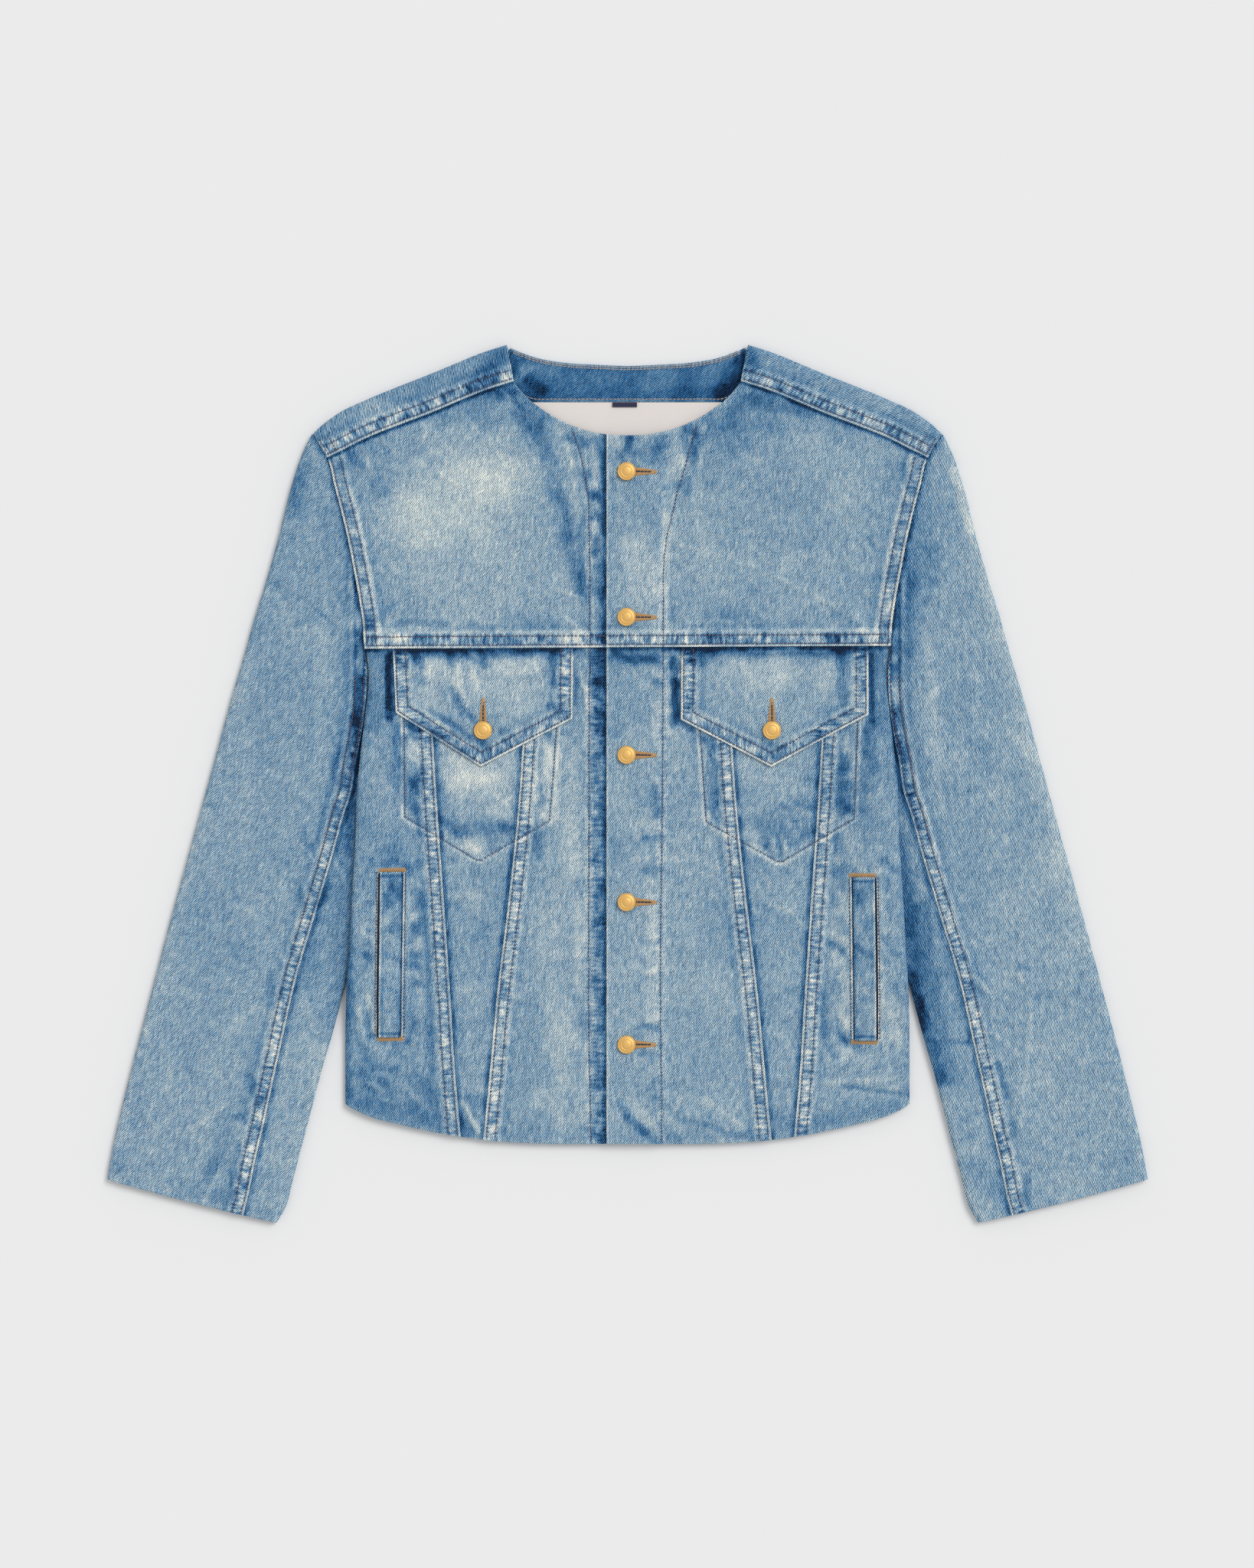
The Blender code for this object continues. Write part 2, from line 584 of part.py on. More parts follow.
def pocket_flap(name, side, material):
    """A pointed flap lying on the panels below the chest seam."""
    low_x, low_y = np.array(FLAP_CORNERS[side]).T
    top_in, top_out = FLAP_TOPS[side]
    point = (low_x[1] - low_x[0]) / (low_x[2] - low_x[0])
    u = np.concatenate((np.linspace(0, point, 5), np.linspace(point, 1, 5)[1:]))
    v = np.linspace(0, 1, 6)[:, None]
    x_low = low_x[0] + (low_x[2] - low_x[0]) * u
    x_top = top_in + (top_out - top_in) * u
    x = x_low + (x_top - x_low) * v
    low = np.interp(x_low, low_x, low_y)
    y = low + (chest_y(side, x) - SEAM_GAP / 2 - low) * v
    base = body_over(side, x, y) + BAND_RISE + LAYER_GAP
    wall(name, stack(side * x, y, base + THIN_DENIM), stack(side * x, y, base), material)


def flap_over(side, x, y):
    return body_over(side, x, y) + BAND_RISE + LAYER_GAP + THIN_DENIM


def pocket_welt(name, side, material):
    """The strip of a hand pocket, along the side panel."""
    v = np.linspace(0, 1, 8)[:, None]
    low, top = WELT_ENDS[side]
    y = low + (top - low) * v
    x = np.array([WELT_IN, WELT_IN + 5.5, WELT_OUT - 5.5, WELT_OUT]) - WELT_SLANT * (1 - v)
    y = np.broadcast_to(y, x.shape)
    base = body_over(side, x, y) + WELT_GAP
    wall(name, stack(side * x, y, base + THIN_DENIM), stack(side * x, y, base), material)


def neck_facing(name, material):
    """The band inside the back neckline."""
    x = np.linspace(-FACING_HALF, FACING_HALF, 15)
    top = smooth(BACK_NECK, np.abs(x)) - LAYER_GAP
    low = FACING_Y + 6 * ramp(np.abs(x), 70, FACING_HALF)
    y = spread(low, top, shares=(0.5,)).T
    base = DENIM + LAYER_GAP
    wall(name, stack(x, y, base + THIN_DENIM), stack(x, y, base), material)


def yoke_lining(name, material):
    """The pale lining below the facing."""
    x = np.linspace(-LINING_HALF, LINING_HALF, 9)
    y = np.linspace(LINING_END_Y, FACING_Y - LAYER_GAP, 5)[:, None]
    base = DENIM + LAYER_GAP
    wall(name, stack(x, y, base + LINING), stack(x, y, base), material)


def neck_tab(name, material):
    """A small woven tab on the lining, under the facing's edge."""
    x = np.linspace(TAB_LEFT, TAB_RIGHT, 3)
    y = np.linspace(TAB_LOW, TAB_TOP, 3)[:, None]
    base = DENIM + LAYER_GAP + LINING + LAYER_GAP
    wall(name, stack(x, y, base + LINING), stack(x, y, base), material)


def button(name, x, y, z, material):
    """A domed shank button with a raised rim, turned about its own axis."""
    builder = bmesh.new()
    angles = np.arange(BUTTON_SIDES) * 2 * np.pi / BUTTON_SIDES
    rings = []
    for radius, height in BUTTON_PROFILE[:-1]:
        ring = stack(np.cos(angles) * radius * BUTTON_RADIUS, np.sin(angles) * radius * BUTTON_RADIUS,
                     np.full(BUTTON_SIDES, height * BUTTON_RADIUS)) * MM
        rings.append([builder.verts.new(point) for point in ring])
    crown = builder.verts.new((0, 0, BUTTON_PROFILE[-1][1] * BUTTON_RADIUS * MM))
    builder.faces.new(rings[0])
    for low, high in zip(rings, rings[1:]):
        for k in range(BUTTON_SIDES):
            after = (k + 1) % BUTTON_SIDES
            builder.faces.new((low[k], low[after], high[after], high[k]))
    for k in range(BUTTON_SIDES):
        builder.faces.new((rings[-1][k], rings[-1][(k + 1) % BUTTON_SIDES], crown))
    piece = add_object(name, builder, material)
    piece.location = (x * MM, y * MM, z * MM)
    return piece


def main():
    for old in list(bpy.data.objects):
        bpy.data.objects.remove(old)
    denim = make_material("denim", (0.22, 0.38, 0.55), 0.9)
    dark_denim = make_material("dark_denim", (0.05, 0.13, 0.30), 0.9)
    lining = make_material("lining", (0.78, 0.75, 0.72), 0.85)
    navy = make_material("navy_tab", (0.01, 0.02, 0.05), 0.8)
    brass = make_material("brass", (0.80, 0.48, 0.16), 0.35, 1.0)

    back_yoke("back_yoke", denim)
    back_center("back_center", denim)
    neck_facing("neck_facing", dark_denim)
    yoke_lining("yoke_lining", lining)
    neck_tab("neck_tab", navy)
    for side, end in ((LEFT, "_l"), (RIGHT, "_r")):
        back_side("back_side" + end, side, denim)
        front_yoke("front_yoke" + end, side, denim)
        front_center("front_center" + end, side, denim)
        front_mid("front_mid" + end, side, denim)
        front_side("front_side" + end, side, denim)
        pocket_flap("pocket_flap" + end, side, denim)
        pocket_welt("pocket_welt" + end, side, denim)
        sleeve(side, denim)
        top = flap_over(side, FLAP_BUTTON_X, FLAP_BUTTON_Y) + LAYER_GAP
        button("flap_button" + end, side * FLAP_BUTTON_X, FLAP_BUTTON_Y, top, brass)
    for count, y in enumerate(BUTTON_YS, 1):
        top = body_over(LEFT, BUTTON_X, y) + PLACKET_RISE + LAYER_GAP
        button("button_%d" % count, BUTTON_X, y, top, brass)


main()
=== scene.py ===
"""The looks of the denim jacket: worn denim shells, their seams, stitches, creases, buttons and lining.

Lengths are millimetres unless a name says otherwise, and meshes are made in metres.  Shapes are
described for one half with x counted outwards, and side is +1 for the wearer's left half.  Tone is how
light the cloth is, from 0 for black to 1 for white, and relief is how far it stands up.  Tone holds worn
and kept dye, and also painted shade: shadows beside seams, flaps, pockets, the placket and the body's sides.
"""

import bmesh
import bpy
import numpy as np
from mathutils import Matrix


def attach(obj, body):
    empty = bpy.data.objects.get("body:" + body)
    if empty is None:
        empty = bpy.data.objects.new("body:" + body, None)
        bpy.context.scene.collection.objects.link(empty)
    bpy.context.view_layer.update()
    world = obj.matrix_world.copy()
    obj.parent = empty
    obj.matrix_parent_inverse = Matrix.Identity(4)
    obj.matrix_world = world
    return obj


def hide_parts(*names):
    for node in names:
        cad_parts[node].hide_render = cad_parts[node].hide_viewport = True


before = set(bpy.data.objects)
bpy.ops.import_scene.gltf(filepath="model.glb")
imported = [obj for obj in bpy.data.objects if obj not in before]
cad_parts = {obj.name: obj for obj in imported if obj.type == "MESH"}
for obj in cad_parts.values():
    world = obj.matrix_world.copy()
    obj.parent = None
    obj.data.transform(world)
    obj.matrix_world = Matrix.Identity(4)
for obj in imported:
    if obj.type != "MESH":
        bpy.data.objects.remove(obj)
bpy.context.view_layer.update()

MM = 0.001
LEFT, RIGHT = 1, -1
SIDES = ((LEFT, "_l"), (RIGHT, "_r"))

# ---------------------------------------------------------------- sizes shared with the solids

DENIM = 1.2
LINING = 1.0
SEAM_GAP = 0.3
HALF_GAP = SEAM_GAP / 2
ARMHOLE_GAP = 0.6
LAYER_GAP = 0.3
WELT_GAP = 0.5
BODY_THICK = 6.8
SLEEVE_THICK = 6.8
FOLD_REACH = 4.5

BAND_RISE = 0.7
BAND_WIDE = 9.0
BAND_SLOPE = 4.0
CHEST_BAND_RISE = 2.3
CHEST_BAND_WIDE = 11.0
MID_DROP = 0.4

PLACKET_EDGE = -16.2
FRONT_EDGE = {LEFT: PLACKET_EDGE, RIGHT: -18.0}
PLACKET_RISE = 1.9
PLACKET_FLAT = 20.0
PLACKET_END = 34.0

TUCK_LIFT = 5.3
TUCK_SINK = 2.0
# Where the back rises over the tucked sleeve: from no rise to all of it, in x and in y.
TUCK_ACROSS, TUCK_ALONG = (150, 197), (-205, -152, 25, 95)
# Where the sleeve is pressed down beside the body: by distance from the body's side, and in y.
SINK_ACROSS, SINK_ALONG = (3, 26), (-215, -155, 88, 110)

CHEST_Y = 104.8
CHEST_TILT = 0.005
BACK_YOKE_Y = 205.0
FACING_Y = 294.5
LINING_END_Y = 216.0
LINING_HALF = 120.0
FACING_HALF = 90.5
FACING_BASE = DENIM + 0.6
NECK_HALF = 93.0
NECK_CORNER = 87.3
SHOULDER_END = 231.5

# Columns: y, x of the front armhole seam from the underarm up to the shoulder tip.
ARMHOLE = ((88, 200.0), (96, 201.2), (108, 203.0), (120, 203.8), (143, 207.0), (167, 211.5),
           (190, 216.0), (212, 221.3), (231, 226.3), (251, 231.5), (260.4, 237.0), (269.8, 242.5))
# Columns: y, x of the back armhole seam.
BACK_ARMHOLE = ((88, 200.6), (105, 203.4), (125, 209), (150, 217), (180, 222.5), (205, 226),
                (230, 231), (250, 236), (269.8, 242.5))
# Columns: y, x of the body's side fold.
BODY_SIDE = ((-250, 217.6), (-222, 217.6), (-175, 216.2), (-134, 214.0), (-92, 211.8), (-45, 209.2),
             (-12, 208.3), (18, 205.6), (48, 202.4), (66, 200.6), (88, 200.0), (96, 201.2), (108, 203.0))
# Columns: x, y of the hem.
HEM = ((0, -277.6), (70, -277.4), (94, -276.2), (118, -273.8), (142, -270.0), (177, -262.5),
       (197, -257.2), (212, -250.5), (217.6, -247.0))
HEM_Y = HEM[0][1]
# Columns: x, y of the shoulder fold.
SHOULDER_FOLD = ((93, 338.5), (106, 334.5), (118, 330.2), (130, 325.2), (153, 315.6), (177, 306.2),
                 (200.5, 296.5), (224, 285.0), (237, 275.2), (242.5, 269.8))
# Columns: x, y of the shoulder seam on the front.
SHOULDER_SEAM = ((87.3, 310.0), (94, 308.0), (106, 304.3), (130, 294.7), (153, 285.0), (177, 276.0),
                 (200.5, 266.5), (222, 255.7), (231.5, 251.0))
# Columns: x, y of the neckline at the back and at the front.
BACK_NECK = ((0, 322.4), (24, 323.4), (47, 324.8), (71, 329.0), (83, 333.2), (93, 337.5))
FRONT_NECK = ((0, 268.3), (12, 268.7), (26, 271.0), (40, 275.0), (52, 280.3), (65, 288.0),
              (75, 295.5), (82.5, 303.0), (87.3, 310.0))
# Columns: y, x of the two seams that run from the chest seam to the hem.
CENTER_SEAM = ((-277, 111.5), (-222, 106.2), (-163, 100.8), (-104, 93.6), (-10, 83.8), (34, 80.8),
               (104.8, 76.5))
SIDE_SEAM = ((-277, 128.0), (-222, 132.7), (-163, 136.4), (-104, 140.4), (-10, 146.9), (34, 149.5),
             (104.8, 153.5))
# Columns: y, x of the seams between the back's panels.
BACK_SEAM = ((-277, 78.0), (-100, 92.0), (60, 108.0), (205, 124.0))

# Columns: y, x of the sleeve's outer fold, inner fold and front seam.
SLEEVE_OUTER = ((-305, 401.5), (-281, 397.1), (-222, 383.0), (-163, 367.6), (-104, 352.0),
                (-45, 335.7), (14, 319.5), (73, 303.3), (96.5, 296.2), (132, 286.2), (155.5, 278.8),
                (191, 268.8), (226, 260.0), (250, 252.3), (262, 247.3), (269.8, 243.0))
SLEEVE_INNER = ((-338.5, 270.5), (-328, 264.4), (-305, 258.0), (-281, 251.7), (-257.5, 245.5),
                (-222, 236.3), (-198.5, 229.4), (-175, 223.0), (-163, 220.0), (-150, 216.3),
                (-135, 211.9), (-120, 207.6), (-100, 203.0), (-70, 199.6), (-40, 199.8), (-10, 202.5),
                (10, 205.0), (25, 205.6), (48, 203.1), (66, 201.3), (88, 201.1))
SLEEVE_SEAM = ((-333, 296.0), (-316, 291.5), (-293, 287.0), (-269, 281.4), (-222, 271.1),
               (-198, 265.8), (-151, 255.2), (-104, 241.3), (-45, 224.0), (-21, 217.5), (-10, 213.6),
               (14, 209.6), (43, 204.0), (62, 201.5), (88, 200.5))
BACK_SLEEVE_SEAM_TOP = 0.62
BACK_SLEEVE_SEAM_CUFF = 0.76
LEAST_UNDER_SLEEVE = 2.0
CUFF_BOW = 1.3

# Columns: x0, y0, x1, y1, half width, height of the largest soft folds.  Here x is signed.
FOLDS = ((150, 158, 184, 120, 7, 1.0),
         (-150, 150, -182, 128, 8, 0.7),
         (-50, 245, -46, 125, 9, -0.7),
         (-187, 88, -186, -5, 8, 0.9),
         (186, 80, 190, -20, 8, 0.8),
         (-122, -236, -110, -270, 7, 0.8),
         (2, -246, 20, -274, 7, -0.7),
         (38, -252, 84, -270, 8, 0.7),
         (150, -238, 216, -243, 7, -0.7),
         (-290, -268, -300, -318, 9, 1.1),
         (-288, -215, -290, -262, 9, 0.9),
         (-352, -198, -372, -224, 10, 0.8),
         (296, -142, 345, -150, 10, 0.9),
         (311, -155, 300, -270, 10, 1.0),
         (345, -214, 376, -218, 9, 0.7),
         (268, -142, 285, -178, 8, 0.9))

# The flaps' corners at their inner edge, their point and their outer edge, as x, y, and the x of both
# edges at the chest seam.
FLAP_CORNERS = {LEFT: ((41.1, 49.2), (110.8, 12.8), (185.6, 53.0)),
                RIGHT: ((42.2, 50.0), (112.8, 13.0), (178.4, 54.6))}
FLAP_TOPS = {LEFT: (41.4, 185.7), RIGHT: (41.7, 180.8)}
# Least width of the flaps.
FLAP_WIDE = 136
WELT_IN, WELT_OUT, WELT_SLANT = 173.5, 190.2, -1.6
WELT_WIDE = WELT_OUT - WELT_IN
# y of the lower and the upper end of each hand pocket's strip.
WELT_ENDS = {LEFT: (-198.0, -72.0), RIGHT: (-195.5, -68.0)}
TAB_LEFT, TAB_RIGHT, TAB_TOP, TAB_LOW = -11.5, 7.4, 294.0, 290.5
TAB_BASE = 3.1
BUTTON_RADIUS = 7.0
BUTTON_X = -0.6
BUTTON_YS = (240.4, 128.3, 22.1, -91.2, -200.9)
FLAP_BUTTON_X, FLAP_BUTTON_Y = 111.2, 41.0

# ---------------------------------------------------------------- sewing

# Distances of the twin stitch rows from a seam's folded edge.
TWIN_ROWS = (2.4, 9.1)
FLAP_ROWS = (2.0, 9.4)
WELT_STITCH = 2.6
STITCH_PITCH = 3.1
STITCH_LONG = 2.7
THREAD_RADIUS = 0.42
# Columns: y, x of the single stitch line that holds each front facing, at signed x.
FACING_LINES = {LEFT: ((-277, 26.3), (-257, 26.3), (-163, 25.4), (0, 27.0), (132, 27.7), (167, 28.0),
                       (190, 30.4), (200, 32.7), (210, 35.1), (225, 38.6), (244, 44.5), (262, 49.3),
                       (279, 54.0)),
                RIGHT: ((-277, 28.0), (-200, 29.5), (0, 29.5), (205, 29.6), (214.5, 29.8),
                        (235, 32.2), (256, 36.9), (273.5, 42.8))}
# Corners of the chest pocket's stitch line, from the flap round its point and back.
POCKETS = {LEFT: ((54.9, 56), (60.8, -29.5), (115.5, -60.0), (119.5, -60.0), (174.6, -27.1), (177.6, 56)),
           RIGHT: ((53.5, 56), (59.9, -28.6), (112.5, -58.7), (116.5, -58.7), (171.4, -25.7), (172.1, 56))}

# ---------------------------------------------------------------- wear and painted shade of the cloth

BODY_TONE = 0.59
SLEEVE_TONE = 0.59
SHOULDER_TONE = 0.53
FLAP_TONE = 0.62
WELT_TONE = 0.58
FACING_TONE = 0.40
# How much painted shadow darkens each sleeve beside the body, which lies over it there.
SLEEVE_SHADE = {LEFT: 0.13, RIGHT: 0.19}
INSIDE_PALER = 0.08
# x at which the turned edge of the lower front fades out.
FACING_FOLD = (26.5, 29)
RELIEF_LOW, RELIEF_HIGH, FLAP_RELIEF_HIGH = -0.7, 0.9, 0.7

# Soft lines beside the sewing, where the dye is worn or kept, the cloth stands up or sinks, or shade is
# painted beside an edge or in a slit.
# Columns: distance from the edge, half width, change of tone or height.
LAP_TONE = ((0.9, 0.9, 0.15), (5.8, 2.2, 0.05))
# As above, counted from the last stitch row of a lapped seam, and from each row: past the last row a pale
# worn ridge, then painted shade beside it.
PAST_ROWS_TONE = ((3, 1.3, 0.08), (6.6, 2.4, -0.06))
PAST_ROWS_RELIEF = ((3, 1.5, 0.25),)
ROW_TONE = ((0.2, 0.8, -0.10),)
ROW_RELIEF = ((0, 0.8, -0.25),)
TOPSTITCH_REACH = 2.3
TOPSTITCH_RELIEF = ((0, 0.9, -0.24), (TOPSTITCH_REACH, 1.4, 0.12))
CHEST_TONE = ((13, 2.2, 0.06), (5.5, 4, -0.04))
ARM_TONE = ((12.6, 1.6, 0.05), (11.0, 0.9, 0.12), (6, 2.6, -0.09), (0.9, 0.8, 0.07))
SHOULDER_ARM_TONE = ((0.9, 0.8, 0.08), (11.5, 1.0, 0.10), (6, 2.6, -0.06))
# The back's seams: a pale worn edge, a line of painted shade beside it, and a pale ridge.
BACK_SEAM_TONE = ((0.6, 0.9, 0.10), (-2, 2.2, -0.10), (11, 2, 0.06))
# Painted shadow cast by the top placket on the front under it.
UNDERLAP_SHADOW = ((-PLACKET_EDGE, 6, -0.18), (17.9, 1.0, -0.16))
# Beside a hand pocket's slits: a pale worn ridge, and painted shadow in the slit.
OUTER_OPENING_TONE = ((2.1, 0.9, 0.25), (0.4, 1.1, -0.50))
INNER_OPENING_TONE = ((1.7, 0.9, 0.22), (0.1, 0.8, -0.42))
WELT_EDGE_TONE = ((0.7, 0.9, 0.17), (2.6, 1.2, -0.08))
WELT_END_TONE = ((2.9, 0.8, -0.30),)

# Soft strokes where the dye is worn or kept, and dark ones of painted shadow beside the flaps, the placket
# and the body's sides; the narrow ones are creases, and stand up where light and sink where dark, their
# dark sides partly painted shade.  Columns: signed x0, y0, x1, y1, half width, change of tone in hundredths.
BODY_STROKES = (
    # the wearer's right chest
    (-48, 215, -42, 190, 5, -10), (-40, 175, -34, 155, 5, -8), (-104, 300, -98, 298, 5, -14),
    (-80, 278, -72, 264, 6, -10), (-22, 272, -18, 262, 4, 16), (-190, 104, -160, 104, 3, 12),
    (-28, 106, -16, 104, 4, 10), (-150, 210, -60, 200, 40, 1.5), (-150, 222, -90, 232, 24, 5),
    (-125, 150, -105, 270, 55, 5.5), (-178, 204, -120, 204, 20, 5), (-125, 240, -100, 228, 13, 5),
    (-165, 236, -168, 195, 15, 3), (-112, 282, -72, 276, 9, -9), (-69, 272, -62, 256, 7, -8),
    (-92, 262, -74, 256, 8, -4), (-62, 258, -55, 222, 6.5, -9), (-54, 222, -48, 190, 6, -10),
    (-47, 190, -38, 148, 5.5, -11), (-50, 270, -42, 246, 3.2, 9), (-42, 246, -37, 206, 2.8, 8),
    (-56, 273, -48, 270, 4, 8), (-36, 140, -33, 108, 4, 9), (-214, 254, -206, 246, 4, -14),
    (-200, 262, -186, 252, 6, -6), (-194, 238, -188, 224, 6, -7), (-202, 250, -196, 240, 3, 6),
    (-156, 276, -156, 264, 2.5, 6), (-192, 150, -192, 128, 6, -4), (-175, 125, -140, 123, 2.8, -9),
    (-120, 123, -104, 119, 3.5, -8), (-90, 126, -62, 124, 7, -6), (-197, 121, -184, 125, 2.5, 7),
    (-145, 240, -130, 230, 1.6, 7), (-55, 150, -35, 143, 1.8, 8), (-140, 284, -98, 300, 9, -10),
    (-96, 300, -66, 274, 7, -8), (-41, 262, -35, 205, 4, -7), (-36, 198, -33, 140, 4, -10),
    (-118, 112, -90, 112, 5, -8), (-47, 128, -31, 112, 1.6, 10), (-42, 118, -34, 105, 1.6, 9),
    (-37, 124, -30, 119, 2.5, -7), (-97, 303, -88, 296, 1.6, 10), (-88, 300, -78, 290, 1.6, 8),
    (-160, 280, -155, 268, 2, 6), (-44, 268, -34, 262, 6, -20), (-32, 238, -28, 222, 4, -14),
    (-36, 160, -33, 125, 4, -8), (-218, 128, -200, 122, 5, -14), (-196, 124, -180, 137, 3, -10),
    (-122, 109, -84, 109, 4, -12), (-90, 302, -64, 282, 5, -20), (-219, 248, -217, 232, 4, -12),
    (-160, 110, -154, 112, 4, -16), (-38, 266, -34, 262, 3, -10),
    # the wearer's left chest and the placket above the chest seam
    (96, 296, 132, 288, 7, -10), (82, 274, 90, 262, 6, -8), (46, 262, 50, 250, 4, -8),
    (38, 232, 44, 224, 4, -10), (44, 107, 60, 104, 4, 14), (48, 274, 58, 264, 5, -16),
    (22, 258, 36, 266, 5, -14), (92, 103, 152, 103, 2.4, 16), (190, 103, 198, 103, 3, 14),
    (150, 112, 182, 112, 4, -10), (50, 112, 84, 115, 4, -8), (180, 116, 198, 106, 5, 12),
    (96, 168, 118, 166, 9, 5), (0, 268, 3, 254, 5, -16), (205, 138, 207, 122, 4, 8),
    (-24, 246, -24, 232, 3, 12), (-24, 214, -24, 192, 3.4, 14), (76, 132, 90, 132, 7, -7),
    (-50, 104, -12, 104, 3, 12), (-200, 102, -166, 102, 3, 12), (212, 244, 222, 222, 4, -12),
    (95, 298, 175, 277, 7, -7), (72, 280, 100, 297, 7, -7), (62, 130, 108, 122, 7, -6),
    (150, 128, 190, 128, 5, -4), (0, 186, 0, 148, 9, 4), (140, 255, 172, 238, 15, 4),
    (165, 212, 182, 172, 14, 4), (52, 232, 56, 180, 7, 4), (84, 172, 104, 180, 10, 4),
    (128, 176, 150, 168, 12, 3), (100, 248, 112, 240, 8, 3), (66, 282, 112, 276, 9, -8),
    (68, 270, 78, 258, 7, -8), (52, 270, 52, 254, 3, -16), (59, 275, 60, 262, 3, 8),
    (57, 258, 55, 244, 2.5, 6), (38, 268, 42, 246, 4.5, 9), (32, 242, 40, 234, 5, 11),
    (30, 228, 42, 232, 3, -14), (46, 236, 48, 226, 4, -10), (20, 262, 28, 246, 6, -8),
    (2, 266, -3, 253, 3.2, -20), (-12, 250, -4, 249, 4, -6), (12, 252, 20, 248, 5, -6),
    (32, 215, 27, 150, 5, 11), (27, 150, 28, 112, 4.5, 9), (5, 185, 15, 142, 12, 8),
    (0, 232, 16, 205, 10, -3), (-11, 235, -11, 195, 2.5, -5), (18, 135, 27, 140, 1.6, -8),
    (36, 134, 35, 126, 3, -9), (70, 118, 66, 113, 3, -10), (160, 135, 176, 125, 2.5, -8),
    (186, 190, 192, 180, 2, -7), (194, 165, 194, 132, 4, -5), (205, 242, 201, 225, 4, -4),
    (106, 133, 100, 130, 2.5, -6), (36, 188, 42, 184, 1.5, 7), (42, 184, 65, 178, 1.5, 6),
    (108, 215, 113, 205, 1.5, 6), (113, 205, 114, 195, 1.5, 6), (120, 157, 150, 142, 1.8, 7),
    (150, 142, 178, 124, 2, 9), (65, 127, 80, 124, 1.6, 7), (95, 137, 103, 130, 1.6, 7),
    (88, 128, 95, 120, 1.6, 7), (172, 132, 180, 124, 1.8, 8),
    # the strip between the left facing's stitches and the placket's edge
    (-26, 265, -24, 265, 3, -10), (-26, 236, -24, 236, 3.5, -10), (-28, 228, -24, 228, 3, 7),
    (-27, 222, -23, 222, 3.5, -17), (-26, 206, -24, 206, 3.5, -10), (-25, 200, -25, 196, 3.5, 6),
    (-26, 190, -24, 190, 3, -9), (-25, 183, -25, 183, 3, 6), (-26, 178, -24, 178, 3, -10),
    (-25, 172, -25, 170, 3, 7), (-26, 155, -24, 155, 3.5, -10), (-25, 160, -25, 160, 2.6, 6),
    (-26, 148, -24, 148, 3, -8), (-25, 135, -25, 118, 3.5, 6), (-26, 95, -24, 95, 3.5, -10),
    (-26, 78, -24, 78, 4, -17), (-25, 65, -25, 65, 3, 6), (-26, 55, -24, 55, 3.5, -9),
    (-25, 35, -25, 35, 3.5, 6), (-26, 20, -24, 20, 3.5, -9), (-26, 0, -24, 0, 3, -8),
    (-25, 10, -25, 10, 3, 6), (-26, -15, -24, -15, 3, -8), (-25, -28, -25, -28, 3, 6),
    (-26, -45, -24, -45, 3.5, -9), (-27, -60, -23, -60, 4, -17), (-25, -52, -25, -52, 2.6, 6),
    (-26, -75, -24, -75, 3, -9), (-25, -68, -25, -68, 2.6, 6), (-25, -95, -25, -95, 3, 6),
    (-26, -108, -24, -108, 3, -8), (-25, -118, -25, -118, 3, 6), (-26, -130, -24, -130, 3.5, -9),
    (-26, -150, -24, -150, 3.5, -9), (-25, -170, -25, -182, 3.5, 6), (-26, -190, -24, -190, 3, -8),
    (-25, -200, -25, -200, 3, 6), (-26, -215, -24, -215, 3, -9), (-26, -230, -24, -230, 3, -10),
    (-25, -222, -25, -222, 2.6, 6), (-25, -245, -25, -245, 3, 6), (-26, -256, -24, -256, 3.5, -10),
    (-26, -270, -24, -270, 3.5, -10),
    # the wearer's right pocket and the panels beside it, with painted shadow beside and below the flap's
    # outer edge
    (-180, 60, -180, -240, 30, -2.5), (-76, 2, -72, -10, 5, 12), (-142, -28, -134, -36, 4, -16),
    (-162, -22, -158, -38, 4, -12), (-165, 14, -160, 4, 4, -10), (-92, -36, -66, -38, 5, -10),
    (-172, 42, -168, 38, 4, 14), (-26, 92, -22, 84, 4, -12), (-30, -18, -26, -28, 3, -12),
    (-18, -8, -17, -16, 3, 10), (-158, -90, -158, -112, 5, -12), (-200, -70, -190, -84, 6, -12),
    (-168, 38, -153, 34, 4.5, -22), (-12, 97, 18, 95, 4, -16), (-178, 44, -176, 16, 4, -14),
    (-180, 8, -166, -8, 8, -8), (-196, -30, -182, -56, 9, -6), (-22, 72, -22, 52, 3.4, -16),
    (-22, 40, -8, 40, 4, -10), (-58, 18, -66, 40, 5, 10), (-76, 4, -74, 30, 6, 8),
    (-130, 0, -100, 4, 8, 8), (-192, 85, -190, -45, 6, 3), (-183, 98, -183, 52, 4, -32),
    (-165, 34, -164, 12, 4, 9), (-158, 14, -158, 2, 3, -10), (-165, -2, -165, -20, 5, -17),
    (-163, -11, -160, -13, 2.5, 12), (-168, -23, -160, -26, 3, 8), (-166, 44, -160, 42, 4, -10),
    (-133, 22, -97, 20, 18, 12), (-130, 5, -100, -14, 16, 11), (-126, -35, -92, -34, 6, -13),
    (-134, -26, -130, -38, 5, -6), (-94, -30, -96, -40, 4, -6), (-128, -46, -116, -50, 5, 10),
    (-115, -52, -115, -56, 3.5, 10), (-100, -45, -92, -38, 4, 4), (-63, 22, -62, -6, 4, 10),
    (-62, 40, -61, 38, 2.5, -16), (-66, 2, -66, -10, 2, -8), (-64, -24, -61, -28, 3, 9),
    (-69, -45, -68, -56, 4, -10), (-52, 35, -54, -28, 2.2, 9), (-44, 20, -40, -60, 7, 8),
